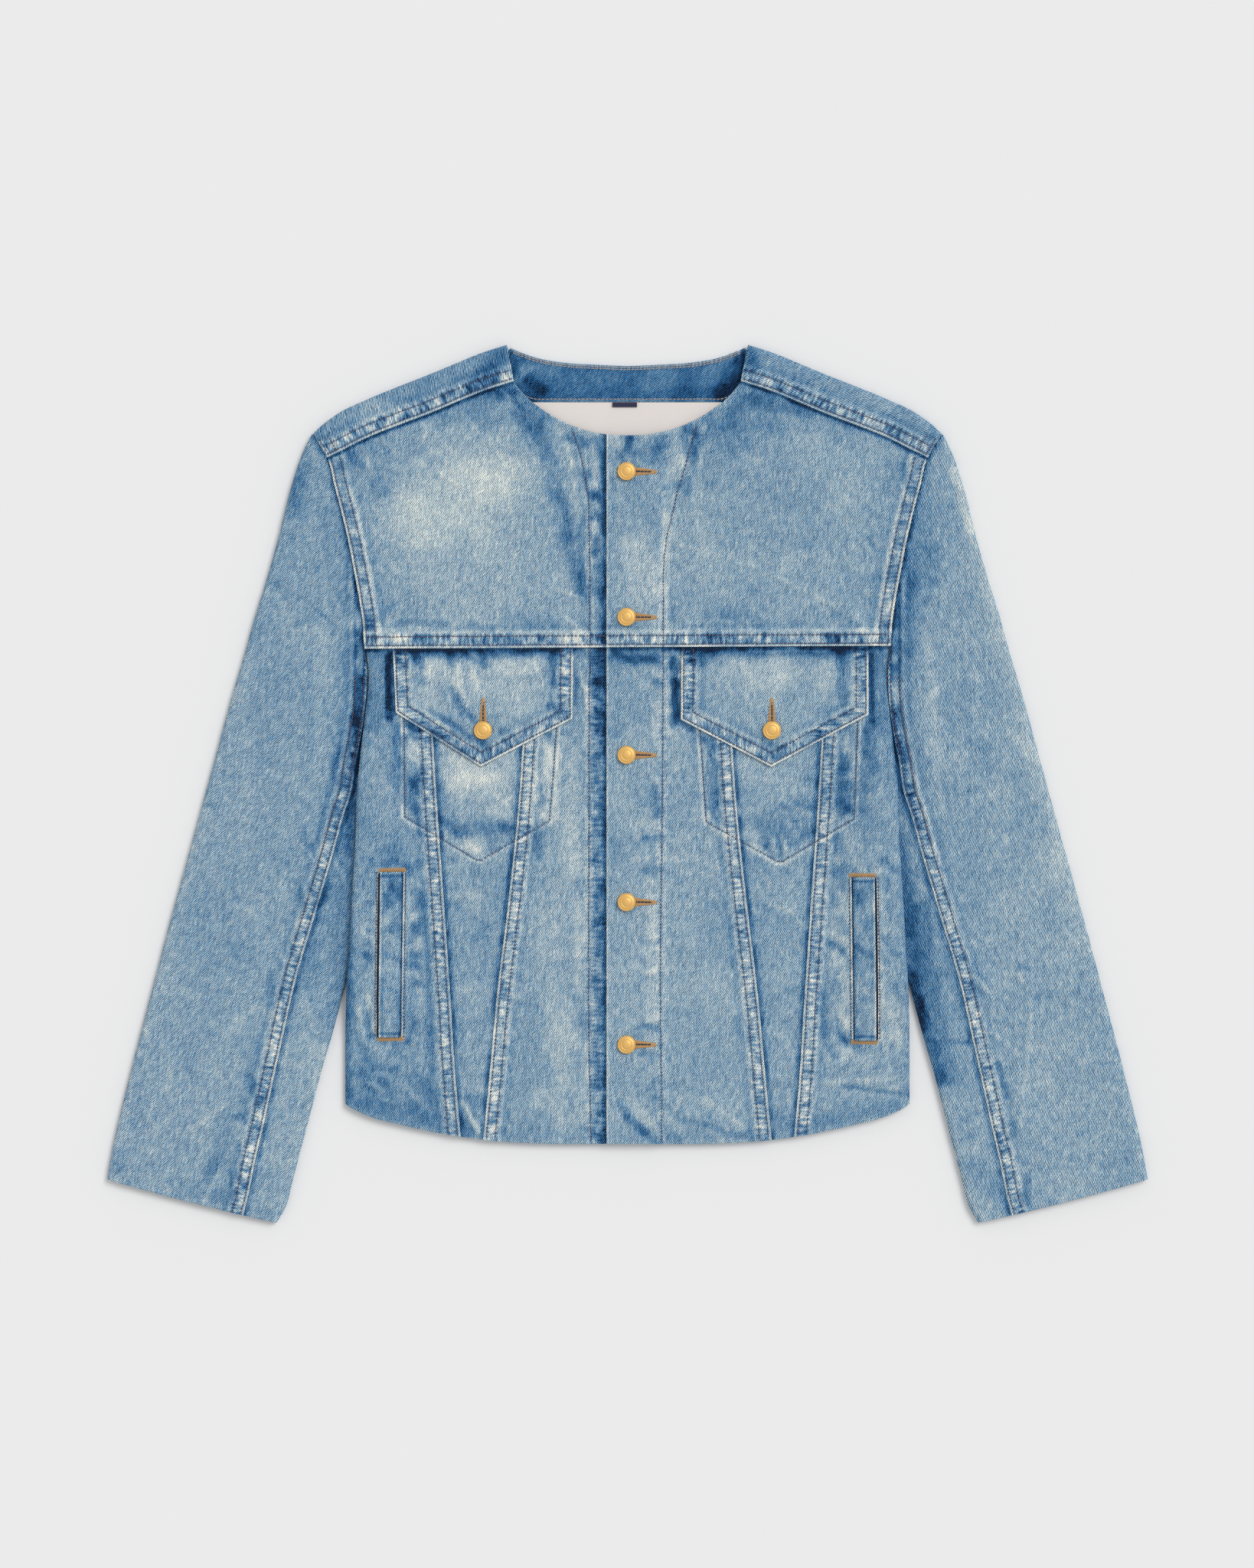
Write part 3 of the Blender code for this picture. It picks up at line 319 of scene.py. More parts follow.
    (-38, -58, -36, -70, 5, 4), (-41, 98, -32, 72, 2.2, 10), (-32, 72, -29, 55, 2.2, 10),
    (-45, 100, -40, 60, 5, -3), (-184, 100, -184, 58, 2.6, -22), (-169, 46, -161, 42, 3.4, -26),
    (-40, 96, -40, 62, 2.6, -10), (-24, 98, -24, 45, 5, -7), (-182, -54, -166, -60, 7, -6),
    (-176, -76, -172, -92, 5, -7), (-70, 2, -60, -18, 6, 5), (-128, -24, -118, -38, 5, 5),
    # the wearer's right half below the pocket
    (-188, -228, -182, -240, 5, -12), (-182, -184, -174, -196, 4, 14), (-96, -178, -94, -200, 4, 10),
    (-46, -170, -42, -200, 6, 8), (-215, -180, -215, -240, 3, -14), (-212, -240, -190, -248, 8, -6),
    (-168, -246, -155, -258, 6, -8), (-108, -254, -100, -262, 5, 10), (-26, -258, -22, -268, 3.5, 12),
    (-22, -242, -22, -248, 3.5, 8), (30, -262, 42, -268, 5, 6), (-198, -146, -196, -138, 4, 10),
    (-186, -160, -190, -188, 5, 7), (165, -165, 166, -185, 6, 10), (203, -180, 205, -195, 5, 10),
    (-216, -90, -214, -176, 4, -16), (-206, -186, -200, -230, 6, -6), (-152, -120, -152, -235, 4, -8),
    (-136, -150, -136, -200, 3, -5), (-195, -60, -172, -62, 5, -10), (-23, -118, -23, -132, 3, -12),
    (-22, -160, -22, -200, 3, -10), (-104, -190, -102, -250, 5, 7), (-206, -200, -196, -240, 9, -5),
    (-164, -226, -150, -245, 7, -5), (-138, -105, -138, -165, 3.5, -6), (-100, -185, -103, -240, 5, 5),
    (-58, -190, -50, -240, 11, 3), (-37, -90, -38, -150, 3.5, 8), (-38, -150, -36, -168, 3, 7),
    (-33, -170, -33, -195, 3, -5), (-62, -110, -55, -160, 9, 4), (-58, -170, -50, -222, 9, 6),
    (-98, -166, -91, -166, 3, -10), (-90, -162, -84, -165, 2.5, 8), (-86, -169, -70, -172, 2.5, -7),
    (-70, -242, -46, -262, 8, 6), (-55, -235, -44, -232, 5, 5), (-38, -232, -36, -258, 4, 6),
    (-120, -84, -118, -98, 8, 5), (-113, -108, -112, -118, 8, -5), (-127, -246, -115, -268, 2.2, 16),
    (-128, -256, -122, -270, 4, -12), (-123, -242, -116, -246, 4, -9), (-131, -236, -126, -240, 2, 8),
    (-200, -100, -205, -125, 5, 6), (-198, -112, -196, -113, 3.5, -10), (-201, -131, -195, -137, 3.5, -15),
    (-198, -155, -203, -175, 5, 5), (-168, -88, -162, -100, 4, 8), (-164, -112, -163, -108, 3.5, -12),
    (-163, -124, -162, -120, 4, 10), (-168, -132, -160, -133, 3, -11), (-166, -140, -160, -141, 3, -12),
    (-168, -151, -158, -156, 3, -10), (-160, -160, -158, -172, 4, 6), (-203, -168, -198, -194, 2.5, -10),
    (-198, -194, -186, -201, 2.5, -10), (-186, -201, -170, -199, 2.5, -8),
    (-170, -199, -163, -184, 2.5, -8), (-207, -172, -203, -198, 2.5, 7), (-203, -198, -188, -208, 2.5, 7),
    (-170, -206, -158, -194, 2.5, 6), (-193, -218, -178, -222, 3.5, -10),
    (-212, -222, -204, -223, 3.5, -8), (-202, -233, -190, -240, 2.2, -8), (-200, -230, -188, -237, 1.8, 7),
    (-170, -234, -160, -245, 2, 7), (-215, -250, -150, -258, 9, -6), (-158, -235, -150, -245, 4, -7),
    (-214, -205, -206, -212, 5, 5),
    # the placket below the chest seam and the panel beside it, with painted shadow beside the left flap's
    # inner edge
    (0, -130, 70, -230, 70, 2), (14, -30, 24, -34, 6, 10), (18, 74, 22, 62, 5, 8), (20, 90, 26, 84, 4, 10),
    (90, -158, 92, -170, 4, 10), (-10, 102, 6, 92, 3.2, -18), (8, 97, 24, 96, 3.5, -17),
    (23, 78, 23, 77, 3.5, -13), (22, 60, 22, 30, 4, 6), (23, 14, 23, 10, 3, -7),
    (22, -9, 22, -12, 3.5, -9), (23, -22, 23, -24, 3, -9), (14, -42, 26, -41, 3.2, -14),
    (12, -50, 24, -53, 3, 6), (12, -67, 26, -67, 2.6, -10), (8, -58, 42, -58, 3, 8),
    (16, -75, 18, -88, 4, 7), (-8, -20, 5, -30, 10, 5), (-12, -45, -8, -50, 5, -5),
    (18, -98, 20, -118, 5, 10), (15, -122, 24, -122, 2.6, -11), (18, -126, 19, -144, 5, 10),
    (15, -150, 24, -150, 2.8, -10), (18, -155, 19, -182, 5, 9), (10, -187, 23, -187, 2.8, -16),
    (10, -208, 23, -208, 3, -12), (18, -214, 22, -222, 4, 5), (20, -228, 24, -230, 3, -8),
    (22, -240, 26, -248, 3, -9), (-6, -245, 0, -256, 3.5, -12), (0, -256, 12, -268, 3.8, -16),
    (12, -268, 22, -276, 3.8, -15), (2, -246, 18, -262, 5, 9), (-10, -235, -6, -225, 4, -5),
    (40, -244, 33, -262, 2.4, 8), (36, -256, 42, -252, 2.5, -7), (30, -262, 40, -275, 4, -6),
    (42, -259, 60, -263, 2.2, -9), (60, -263, 86, -272, 2.4, -11), (60, -243, 90, -265, 2, 8),
    (90, -270, 108, -272, 4, -8), (34, 60, 38, 10, 4, 5), (44, 40, 50, 0, 3, 4), (36, 96, 36, 46, 4, -30),
    (45, -40, 60, -70, 10, 4), (62, -42, 74, -70, 2.2, 6), (66, -48, 78, -76, 2, -5),
    (80, -110, 82, -140, 3, -5), (82, -180, 86, -195, 3, -8), (84, -172, 80, -178, 2, 7),
    # the wearer's left pocket and the panels beside it, with painted shadow beside both sides of the flap
    (166, -64, 176, -70, 4, -14), (196, -60, 204, -66, 4, -12), (108, -46, 120, -56, 5, -8),
    (38, 96, 38, 84, 3.6, 28), (33, 72, 34, 44, 5, 14), (52, 42, 66, 30, 4, -10),
    (206, 60, 210, 8, 4, -14), (150, 4, 200, -40, 14, -5), (160, -66, 168, -80, 5, -10),
    (190, -66, 200, -74, 5, -6), (58, 36, 64, 24, 3, -12), (60, 30, 68, 20, 1.8, 9),
    (70, 12, 70, -14, 2.5, -11), (62, -18, 66, -20, 3, -11), (62, -24, 60, -28, 3, 10),
    (92, 22, 140, 18, 12, 4), (96, 2, 140, -6, 6, 3), (118, -12, 142, -25, 2, 9),
    (120, -16, 142, -20, 4, -10), (104, -30, 124, -40, 6, -10), (130, -30, 140, -38, 5, -6),
    (112, -44, 116, -58, 1.8, 10), (122, -44, 121, -58, 1.8, 10), (117, -44, 118, -56, 2.2, -10),
    (108, -48, 112, -58, 2.5, -8), (128, -44, 128, -54, 2, 7), (112, -61, 124, -61, 3, 7),
    (98, -48, 106, -54, 3, 7), (108, -92, 125, -98, 1.8, 7), (125, -98, 138, -111, 1.8, 8),
    (104, -75, 118, -90, 7, 3), (167, 40, 166, 26, 4, 5), (166, 20, 166, 12, 3.5, -12),
    (168, 4, 168, -19, 5, -19), (164, 4, 172, 4, 1.4, 12), (166, -8, 172, -7, 1.5, 12),
    (166, -22, 173, -27, 2.5, 10), (182, 40, 182, -20, 3, -6), (190, 60, 192, 0, 8, -3),
    (192, 96, 194, 44, 8, -10), (188, 98, 188, 55, 2.4, -14), (-193, 96, -196, 44, 8, -9),
    (160, 48, 170, -20, 12, -5), (-50, -22, -46, -70, 6, 5), (18, -22, 20, -44, 5, 6),
    (203, -20, 205, -60, 3.5, 5), (162, -42, 164, -52, 4, -10), (38, 95, 38, 50, 3.4, -22),
    (43, 46, 48, 42, 2.6, -16), (188, 100, 188, 48, 2.4, -16), (188, 47, 186, 36, 4, -12),
    (150, 30, 160, -15, 8, -4), (180, 40, 184, 2, 6, -5),
    # the wearer's left half round the hand pocket
    (158, -190, 168, -198, 4, -12), (208, -236, 216, -246, 5, 10), (130, -250, 138, -260, 5, 8),
    (186, 30, 190, 10, 4, -10), (156, 26, 160, 18, 4, 12), (207, 34, 210, 8, 4, -10),
    (166, -100, 200, -190, 20, 3), (93, -160, 96, -190, 4, 5), (165, -45, 195, -50, 2.5, 5),
    (160, -60, 166, -64, 4, 5), (195, -50, 203, -70, 3, 5), (185, -44, 200, -58, 3, -5),
    (160, -88, 160, -92, 3, -11), (158, -112, 160, -118, 4, 9), (157, -123, 165, -128, 3, -17),
    (160, -134, 162, -138, 4, 7), (163, -142, 163, -144, 3, -9), (163, -158, 163, -162, 3, -8),
    (162, -168, 164, -172, 3, -8), (161, -182, 168, -198, 2.6, -14), (168, -198, 178, -202, 2.6, -12),
    (158, -180, 160, -195, 2.6, 6), (166, -206, 190, -214, 5, 6), (174, -206, 182, -209, 2, -7),
    (194, -217, 192, -218, 3, -8), (156, -205, 162, -210, 4, -6), (200, -103, 201, -104, 3, -8),
    (199, -117, 201, -118, 3, -9), (203, -131, 208, -132, 3, -9), (207, -148, 206, -160, 3, -8),
    (197, -142, 210, -150, 1.8, 8), (213, -175, 208, -205, 3, 7), (150, -162, 152, -195, 2.8, -12),
    (150, -231, 217, -226, 2, 8), (167, -233, 217, -240, 1.8, -15), (160, -250, 205, -250, 8, -5),
    (145, -262, 180, -262, 6, -5), (110, -255, 128, -268, 7, -6),
    # the chest seam's band, dark and cream by turns
    (-182, 110, -182, 116, 2.4, -10), (-163, 109, -157, 115, 2.6, -11), (-137, 109, -137, 115, 2.4, -10),
    (-129, 109, -129, 116, 2, -9), (-124, 109, -124, 114, 2, -10), (-118, 109, -118, 116, 2, -10),
    (-113, 109, -97, 113, 3.2, -9), (-90, 109, -90, 115, 2.4, -10), (-68, 109, -68, 115, 2.4, -10),
    (-30, 110, -29, 116, 3, -10), (-20, 110, -20, 115, 3, -10), (15, 109, 15, 115, 2.6, -10),
    (62, 110, 70, 113, 3, -9), (90, 109, 90, 115, 2.6, -10), (105, 109, 105, 115, 2.6, -10),
    (160, 110, 166, 114, 3.2, -15), (-186, 112, -168, 112, 3.2, 14), (-190, 119, -150, 120, 1.8, 8),
    (-62, 112, -45, 112, 3, 7), (43, 112, 60, 112, 3, 7), (168, 112, 200, 112, 3, 7))
# Columns as above, on the pocket flaps.
FLAP_STROKES = (
    # the wearer's right flap
    (-76, 44, -64, 42, 5, -12), (-154, 46, -140, 42, 4, 12), (-124, 99, -118, 94, 3, -14),
    (-52, 82, -52, 74, 4, 14), (-128, 70, -124, 62, 3, 12), (-172, 101, -160, 100, 2.5, 12),
    (-158, 92, -152, 86, 4, 8), (-166, 48, -144, 40, 5, -26), (-146, 38, -118, 22, 5, -22),
    (-175, 92, -176, 64, 4, -16), (-165, 101, -157, 90, 4.5, -22), (-160, 84, -158, 78, 3, -8),
    (-136, 101, -135, 92, 3.5, -18), (-126, 101, -120, 97, 2.5, -10), (-112, 101, -110, 91, 3.5, -20),
    (-104, 100, -98, 97, 3, -10), (-80, 101, -74, 98, 3, -8), (-57, 101, -56, 78, 5, -20),
    (-66, 92, -62, 88, 3, -8), (-52, 75, -52, 66, 3.5, -10), (-60, 60, -50, 57, 4, -20),
    (-150, 90, -132, 82, 9, 10), (-92, 92, -70, 90, 9, 10), (-121, 98, -117, 74, 3.5, 12),
    (-131, 92, -128, 72, 2.5, 7), (-108, 78, -80, 62, 14, 6), (-155, 72, -150, 58, 8, 5),
    (-136, 72, -128, 54, 2.6, -13), (-130, 68, -122, 52, 2.4, -12), (-120, 52, -116, 46, 3, -10),
    (-141, 50, -122, 35, 3.5, -15), (-112, 32, -108, 28, 4.5, -22), (-150, 55, -144, 52, 3, -8),
    (-98, 42, -92, 38, 3, -8),
    # the wearer's left flap
    (152, 48, 160, 42, 4, -10), (122, 26, 148, 38, 5, -22), (126, 62, 140, 94, 9, -7),
    (180, 96, 180, 62, 3.4, -22), (96, 22, 104, 18, 4, -10), (48, 100, 58, 94, 5, -18),
    (66, 99, 70, 92, 3, -8), (92, 103, 154, 103, 2.4, 22), (165, 101, 165, 88, 4.5, -20),
    (150, 100, 156, 96, 3, -8), (164, 80, 166, 62, 4, -15), (110, 92, 150, 84, 14, 5),
    (78, 88, 100, 70, 14, 5), (120, 78, 124, 60, 10, 4), (88, 92, 94, 84, 2.4, 7), (96, 80, 104, 74, 2, 5),
    (104, 31, 114, 27, 4, -16), (146, 56, 158, 58, 3, -6), (57, 70, 58, 60, 3, -6))
# Columns as above, on the hand pockets' welts.
WELT_STROKES = (
    (183, -160, 185, -170, 4, 8), (-179, -74, -176, -86, 4, -16), (182, -140, 186, -146, 4, 7),
    (184, -114, 186, -122, 4, 7), (-182, -80, -183, -92, 4, -16), (-183, -110, -181, -112, 4, -9),
    (-184, -132, -180, -134, 4, -10), (-182, -147, -182, -148, 3, -7), (-184, -165, -184, -190, 5, 6),
    (178, -84, 178, -92, 4, -17), (182, -108, 184, -112, 4, -12), (175, -125, 188, -133, 2.8, -12),
    (182, -150, 184, -158, 4, -5))
# Columns as above, on the back yoke where it comes over the shoulders.
SHOULDER_STROKES = (
    (-95, 331, -114, 310, 9, -18), (-120, 306, -104, 312, 5, -10), (-200, 287, -184, 288, 9, 10),
    (93, 331, 96, 314, 7, -18), (116, 302, 124, 296, 5, -8), (150, 306, 200, 292, 9, 5),
    (205, 270, 222, 262, 5, -8), (100, 304, 180, 280, 4, -5), (-232, 258, -202, 264, 4, -6))
# Columns as above, on the neck facing.
FACING_STROKES = (
    (74, 300, 96, 330, 9, -26), (-100, 332, -88, 322, 7, -22), (-76, 312, -66, 304, 5, -20),
    (-92, 300, -72, 292, 4, -18), (-88, 326, -78, 318, 5, 7), (-84, 312, -76, 322, 4, 8),
    (-70, 322, -58, 318, 5, 6), (-72, 300, -60, 304, 6, -7), (-86, 304, -80, 312, 4, -5),
    (-40, 318, -28, 314, 5, 4), (-14, 308, 2, 304, 6, -4), (20, 316, 34, 312, 6, 5),
    (62, 318, 70, 322, 4, 6), (76, 312, 84, 320, 4, 7), (60, 302, 72, 300, 5, -6),
    (40, 304, 48, 300, 5, -4))
# Columns as above, on the sleeves.
SLEEVE_STROKES = (
    # the wearer's right sleeve, with painted shadow beside the body under the arm
    (-262, 230, -300, 120, 25, -3), (-220, 140, -245, 60, 20, -2), (-246, 262, -258, 210, 7, -9),
    (-298, -262, -296, -276, 4, 12), (-320, -306, -340, -312, 9, -5), (-211, 50, -214, 14, 4, -16),
    (-209, 72, -208, 60, 4, -12), (-224, 246, -220, 232, 5, -10), (-212, 100, -208, 120, 4, -10),
    (-244, -75, -240, -95, 3, -8), (-296, -242, -298, -320, 4, -6), (-204, 80, -209, 14, 5, -24),
    (-212, 10, -216, -50, 3, -12), (-221, 28, -238, -44, 2.6, -10), (-253, 250, -257, 225, 7, -5),
    (-224, 245, -218, 232, 4, -7), (-300, -311, -330, -321, 9, -5), (-268, -165, -272, -200, 5, -4),
    (-243, -80, -241, -95, 3, -6), (-234, -165, -228, -130, 8, 5), (-230, 212, -222, 155, 8, -5),
    (-213, 190, -208, 80, 4, -6), (-235, 115, -225, 65, 9, 5), (-238, 95, -236, 5, 5, 5),
    (-226, 20, -222, -6, 3, -8), (-222, 18, -232, -22, 2, 7), (-250, -40, -243, -55, 4, -9),
    (-251, -48, -242, -58, 1.6, 10), (-255, -76, -248, -100, 4, -9), (-258, -72, -257, -82, 2, 7),
    (-270, -126, -265, -136, 2, 6), (-276, -150, -275, -172, 4, -7), (-290, -174, -312, -196, 4, 5),
    (-284, -195, -286, -215, 4, -6), (-292, -225, -284, -245, 4, -14), (-300, -256, -296, -260, 3, -16),
    (-301, -254, -296, -262, 1.5, 8), (-310, -258, -318, -292, 7, -7), (-318, -292, -322, -304, 6, -7),
    (-315, -300, -328, -325, 2.2, 9), (-308, -312, -312, -325, 2, 5), (-304, -300, -302, -322, 4, -8),
    (-340, -271, -310, -246, 2.5, 6), (-372, -188, -368, -201, 2, 5), (-358, -205, -350, -215, 1.8, 5),
    (-350, -215, -355, -236, 1.8, 5), (-242, -180, -234, -240, 8, 4), (-250, -168, -246, -172, 4, 6),
    (-264, 250, -302, 90, 8, -5), (-318, -318, -300, -330, 8, -6), (-392, -285, -394, -300, 6, -5),
    (-275, 155, -250, 143, 1.5, -4), (-250, 143, -235, 130, 1.5, -5), (-235, 130, -215, 112, 1.5, -5),
    (-300, -46, -266, -70, 1.5, -4), (-225, -60, -216, -80, 2, 6), (-231, -80, -236, -92, 3.5, -14),
    (-226, -55, -230, -70, 3, 7), (-266, -210, -268, -214, 3, 8), (-279, -255, -281, -259, 3, 8),
    (-283, -275, -285, -279, 3, 8), (-288, -293, -290, -297, 3, 8),
    # the wearer's left sleeve, with painted shadow where the body lies over it
    (300, -120, 345, -280, 40, 3), (224, -168, 242, -228, 5, -20), (252, 240, 264, 195, 5, 14),
    (272, 56, 277, 40, 8, 6), (286, 2, 282, -6, 6, 5), (268, -185, 272, -196, 4, 10),
    (262, -140, 268, -168, 4, -8), (316, -220, 322, -228, 6, 5), (268, -300, 300, -330, 9, -6),
    (221, -148, 228, -188, 4, -24), (206, 58, 208, 20, 4, -16), (213, -28, 226, -84, 5, 12),
    (222, 128, 228, 140, 6, -7), (222, -100, 246, -225, 9, -11), (204, 56, 222, -30, 4.5, -10),
    (225, 250, 220, 222, 4, -5), (222, 5, 240, -62, 2, 8), (276, 200, 350, -120, 16, 4.5),
    (214, 240, 208, 90, 14, -7), (232, 215, 226, 155, 9, -5), (220, 160, 218, 146, 5, -10),
    (235, 182, 236, 152, 6, -6), (219, 170, 218, 100, 6, -6), (208, 150, 206, 80, 4, -6),
    (231, 112, 236, 70, 4, 5), (236, 70, 241, -20, 4.5, 5), (222, 70, 248, 20, 12, 3),
    (262, 76, 260, 70, 5, -5), (276, 62, 276, 48, 5, -4), (270, 30, 284, 0, 8, -3),
    (266, 90, 271, 80, 2, 5), (296, 40, 312, 22, 6, 4), (215, -40, 218, -160, 8, -12),
    (230, -198, 265, -200, 1.4, -7), (268, -147, 278, -160, 1.8, 10), (266, -152, 272, -162, 2.4, -9),
    (280, -192, 287, -197, 1.8, 9), (283, -208, 290, -216, 1.8, 9), (286, -216, 293, -242, 3.5, -10),
    (296, -262, 298, -270, 3, -8), (303, -285, 303, -306, 2.4, 7), (302, -288, 304, -292, 2.2, -8),
    (309, -300, 308, -322, 3.5, -9), (288, -146, 302, -147, 1.8, 6), (302, -147, 308, -156, 1.8, 6),
    (300, -142, 322, -141, 2.2, -5), (312, -165, 318, -164, 2.5, -7), (316, -161, 350, -160, 1.6, -4),
    (311, -168, 310, -200, 1.8, 5), (310, -200, 302, -262, 1.8, 5), (350, -222, 353, -213, 1.6, 7),
    (353, -213, 360, -217, 1.6, 6), (355, -216, 376, -216, 2, -5), (365, -212, 378, -213, 1.5, 5),
    (355, -150, 364, -151, 1.6, 6), (300, -95, 330, -60, 16, 3))

# How far off a stroke is worked out, how much its edge wavers and how coarsely, all as shares of its half
# width.
STROKE_REACH, STROKE_WAVER, STROKE_GRAIN = 2.6, 0.35, 1.3
# The widest half width of a crease, and a crease's height for a change of tone of 1.
CREASE_HALF, CREASE_HEIGHT = 2.6, 5.0
# Added to the seeds of the wearer's right half.
OTHER_HALF = 300
# Just past an edge, where the side of it matters.
JUST_PAST = 0.01

NOISE_SIZE = 256
NOISE = np.random.default_rng(7).uniform(-1, 1, (NOISE_SIZE, NOISE_SIZE))


# ---------------------------------------------------------------- curves

def ramp(value, start, end):
    """0 before start, 1 after end, smooth between."""
    share = np.clip((value - start) / (end - start), 0, 1)
    return share * share * (3 - 2 * share)


def window(value, start, full, fade, end):
    """1 between full and fade, 0 before start and after end, smooth between."""
    return ramp(value, start, full) * (1 - ramp(value, fade, end))


def hump(distance, half):
    """1 on a line, falling smoothly to nothing a little past its half width."""
    return np.exp(-(distance / half) ** 2)


def lines(distance, rows):
    """Sum of soft lines beside an edge, from rows of distance from the edge, half width and amount."""
    return sum(amount * hump(distance - at, half) for at, half, amount in rows)


def smooth(rows, at):
    """A cubic curve through (key, value) rows read at the given keys, level past both ends."""
    keys, values = np.array(rows, float).T
    slopes = np.gradient(values, keys)
    at = np.clip(at, keys[0], keys[-1])
    cell = np.clip(np.searchsorted(keys, at) - 1, 0, len(keys) - 2)
    span = keys[cell + 1] - keys[cell]
    t = (at - keys[cell]) / span
    start = (1 + 2 * t) * (1 - t) ** 2 * values[cell] + t * (1 - t) ** 2 * span * slopes[cell]
    end = t * t * (3 - 2 * t) * values[cell + 1] + t * t * (t - 1) * span * slopes[cell + 1]
    return start + end


def from_line(rows, key, value):
    """Signed distance of a point from a (key, value) curve that stays nearly straight."""
    slope = (smooth(rows, key + 2) - smooth(rows, key - 2)) / 4
    return (value - smooth(rows, key)) / np.sqrt(1 + slope * slope)


def from_run(x, y, x0, y0, x1, y1):
    """Length of a straight run, and how far along it and off it points are."""
    length = max(np.hypot(x1 - x0, y1 - y0), 0.01)
    ahead = ((x - x0) * (x1 - x0) + (y - y0) * (y1 - y0)) / length
    return length, ahead, ((x - x0) * (y1 - y0) - (y - y0) * (x1 - x0)) / length


def from_corners(corners, x, y):
    """Distance of points from a chain of straight runs, and the length along the chain there."""
    best = np.full(np.broadcast(x, y).shape, np.inf)
    run = np.zeros(best.shape)
    walked = 0.0
    for (x0, y0), (x1, y1) in zip(corners, corners[1:]):
        length = np.hypot(x1 - x0, y1 - y0)
        t = np.clip(((x - x0) * (x1 - x0) + (y - y0) * (y1 - y0)) / length ** 2, 0, 1)
        gap = np.hypot(x - x0 - t * (x1 - x0), y - y0 - t * (y1 - y0))
        nearer = gap < best
        best = np.where(nearer, gap, best)
        run = np.where(nearer, walked + t * length, run)
        walked += length
    return best, run


def noise(u, v, seed=0):
    """Smooth bumps between -1 and 1, about one to each unit of u and v."""
    u, v = np.broadcast_arrays(u + 37.3 * seed, v + 71.9 * seed)
    i, j = np.floor(u).astype(int), np.floor(v).astype(int)
    a, b = ramp(u - i, 0, 1), ramp(v - j, 0, 1)
    i, after = i % NOISE_SIZE, (i + 1) % NOISE_SIZE
    low, high = ((1 - a) * NOISE[i, row % NOISE_SIZE] + a * NOISE[after, row % NOISE_SIZE]
                 for row in (j, j + 1))
    return (1 - b) * low + b * high


def clouds(x, y, size, seed):
    """Uneven patches of about the given size."""
    return (noise(x / size, y / size, seed) + 0.5 * noise(x / size * 2.1, y / size * 2.1, seed + 1)) / 1.2


def strokes(table, x, y):
    """Tone and relief of a table's soft strokes at signed x, y, with uneven edges."""
    x, y = np.broadcast_arrays(x, y)
    tone, relief = np.zeros(x.shape), np.zeros(x.shape)
    for count, (x0, y0, x1, y1, half, percent) in enumerate(table):
        reach = STROKE_REACH * half
        near = ((x > min(x0, x1) - reach) & (x < max(x0, x1) + reach)
                & (y > min(y0, y1) - reach) & (y < max(y0, y1) + reach))
        if not near.any():
            continue
        grain = half * STROKE_GRAIN
        u, v = x[near], y[near]
        u = u + STROKE_WAVER * half * noise(u / grain, v / grain, count)
        v = v + STROKE_WAVER * half * noise(u / grain, v / grain, count + 50)
        length, ahead, off = from_run(u, v, x0, y0, x1, y1)
        past = np.maximum(np.maximum(-ahead, ahead - length), 0)
        share = hump(np.hypot(off, past), half)
        tone[near] += percent / 100 * (0.5 * share + 0.55 * ramp(share, 0.2, 0.7))
        if half <= CREASE_HALF:
            relief[near] += CREASE_HEIGHT * percent / 100 * share
    return tone, relief


# ---------------------------------------------------------------- heights, as in the solids

def folds(x, y):
    """Height of the soft folds at signed x, y: each a bump along its line, fading at its ends."""
    height = np.zeros(np.broadcast(x, y).shape)
    for x0, y0, x1, y1, half, rise in FOLDS:
        length, ahead, off = from_run(x, y, x0, y0, x1, y1)
        ends = ramp(ahead, -half, half) * ramp(length - ahead, -half, half)
        height += rise * ends * hump(off, half)
    return height


def chest_y(side, x):
    """y of the chest seam, which is slightly tilted."""
    return CHEST_Y + CHEST_TILT * side * x


def lift(x, y):
    """Height of the back's underside, which rises over the tucked sleeve."""
    return TUCK_LIFT * ramp(x, *TUCK_ACROSS) * window(y, *TUCK_ALONG)


def body_over(side, x, y):
    """Height of the plain front above the surface, before any seam or placket."""
    return lift(x, y) + BODY_THICK + folds(side * x, y)


def turned(depth, inset):
    """Plan distance from a fold's edge, and share of the half height there, of a wall's face."""
    angle = np.arccos(1 - np.clip(depth / FOLD_REACH, 0, 1))
    plan = np.where(depth < FOLD_REACH, inset + (FOLD_REACH - inset) * (1 - np.cos(angle)), depth)
    return plan, np.sin(angle)


def fold_height(low, high, level, inset, rounding, is_over, rise):
    """Height of a folded wall's face at a depth in from its outer one, lowered by a rounding."""
    half = (high - low) / 2 + level - inset - rounding
    return (high + low) / 2 + np.where(is_over, 1, -1) * half * rise


def placket_rise(side, x):
    """Rise of the top front over the lower one."""
    return PLACKET_RISE * (1 - ramp(x, PLACKET_FLAT, PLACKET_END)) * (side == LEFT)


def band(distance, rise=BAND_RISE, wide=BAND_WIDE):
    """Rise of a lapped seam's band at a distance from its edge."""
    return rise * (1 - ramp(distance, wide, wide + BAND_SLOPE))


# ---------------------------------------------------------------- wear, painted shade and relief near the sewing

class WearAndShade:
    """Tone and relief of an area of cloth, summed from its parts."""

    def __init__(self, tone):
        self.tone, self.relief = tone, 0

    def add(self, tone, relief=0, share=1):
        """Adds a part's tone and relief, where share is above 0."""
        self.tone = self.tone + tone * share
        self.relief = self.relief + relief * share

    def held(self, high=RELIEF_HIGH):
        """The tone, and the relief kept within its limits."""
        return self.tone, np.clip(self.relief, RELIEF_LOW, high)


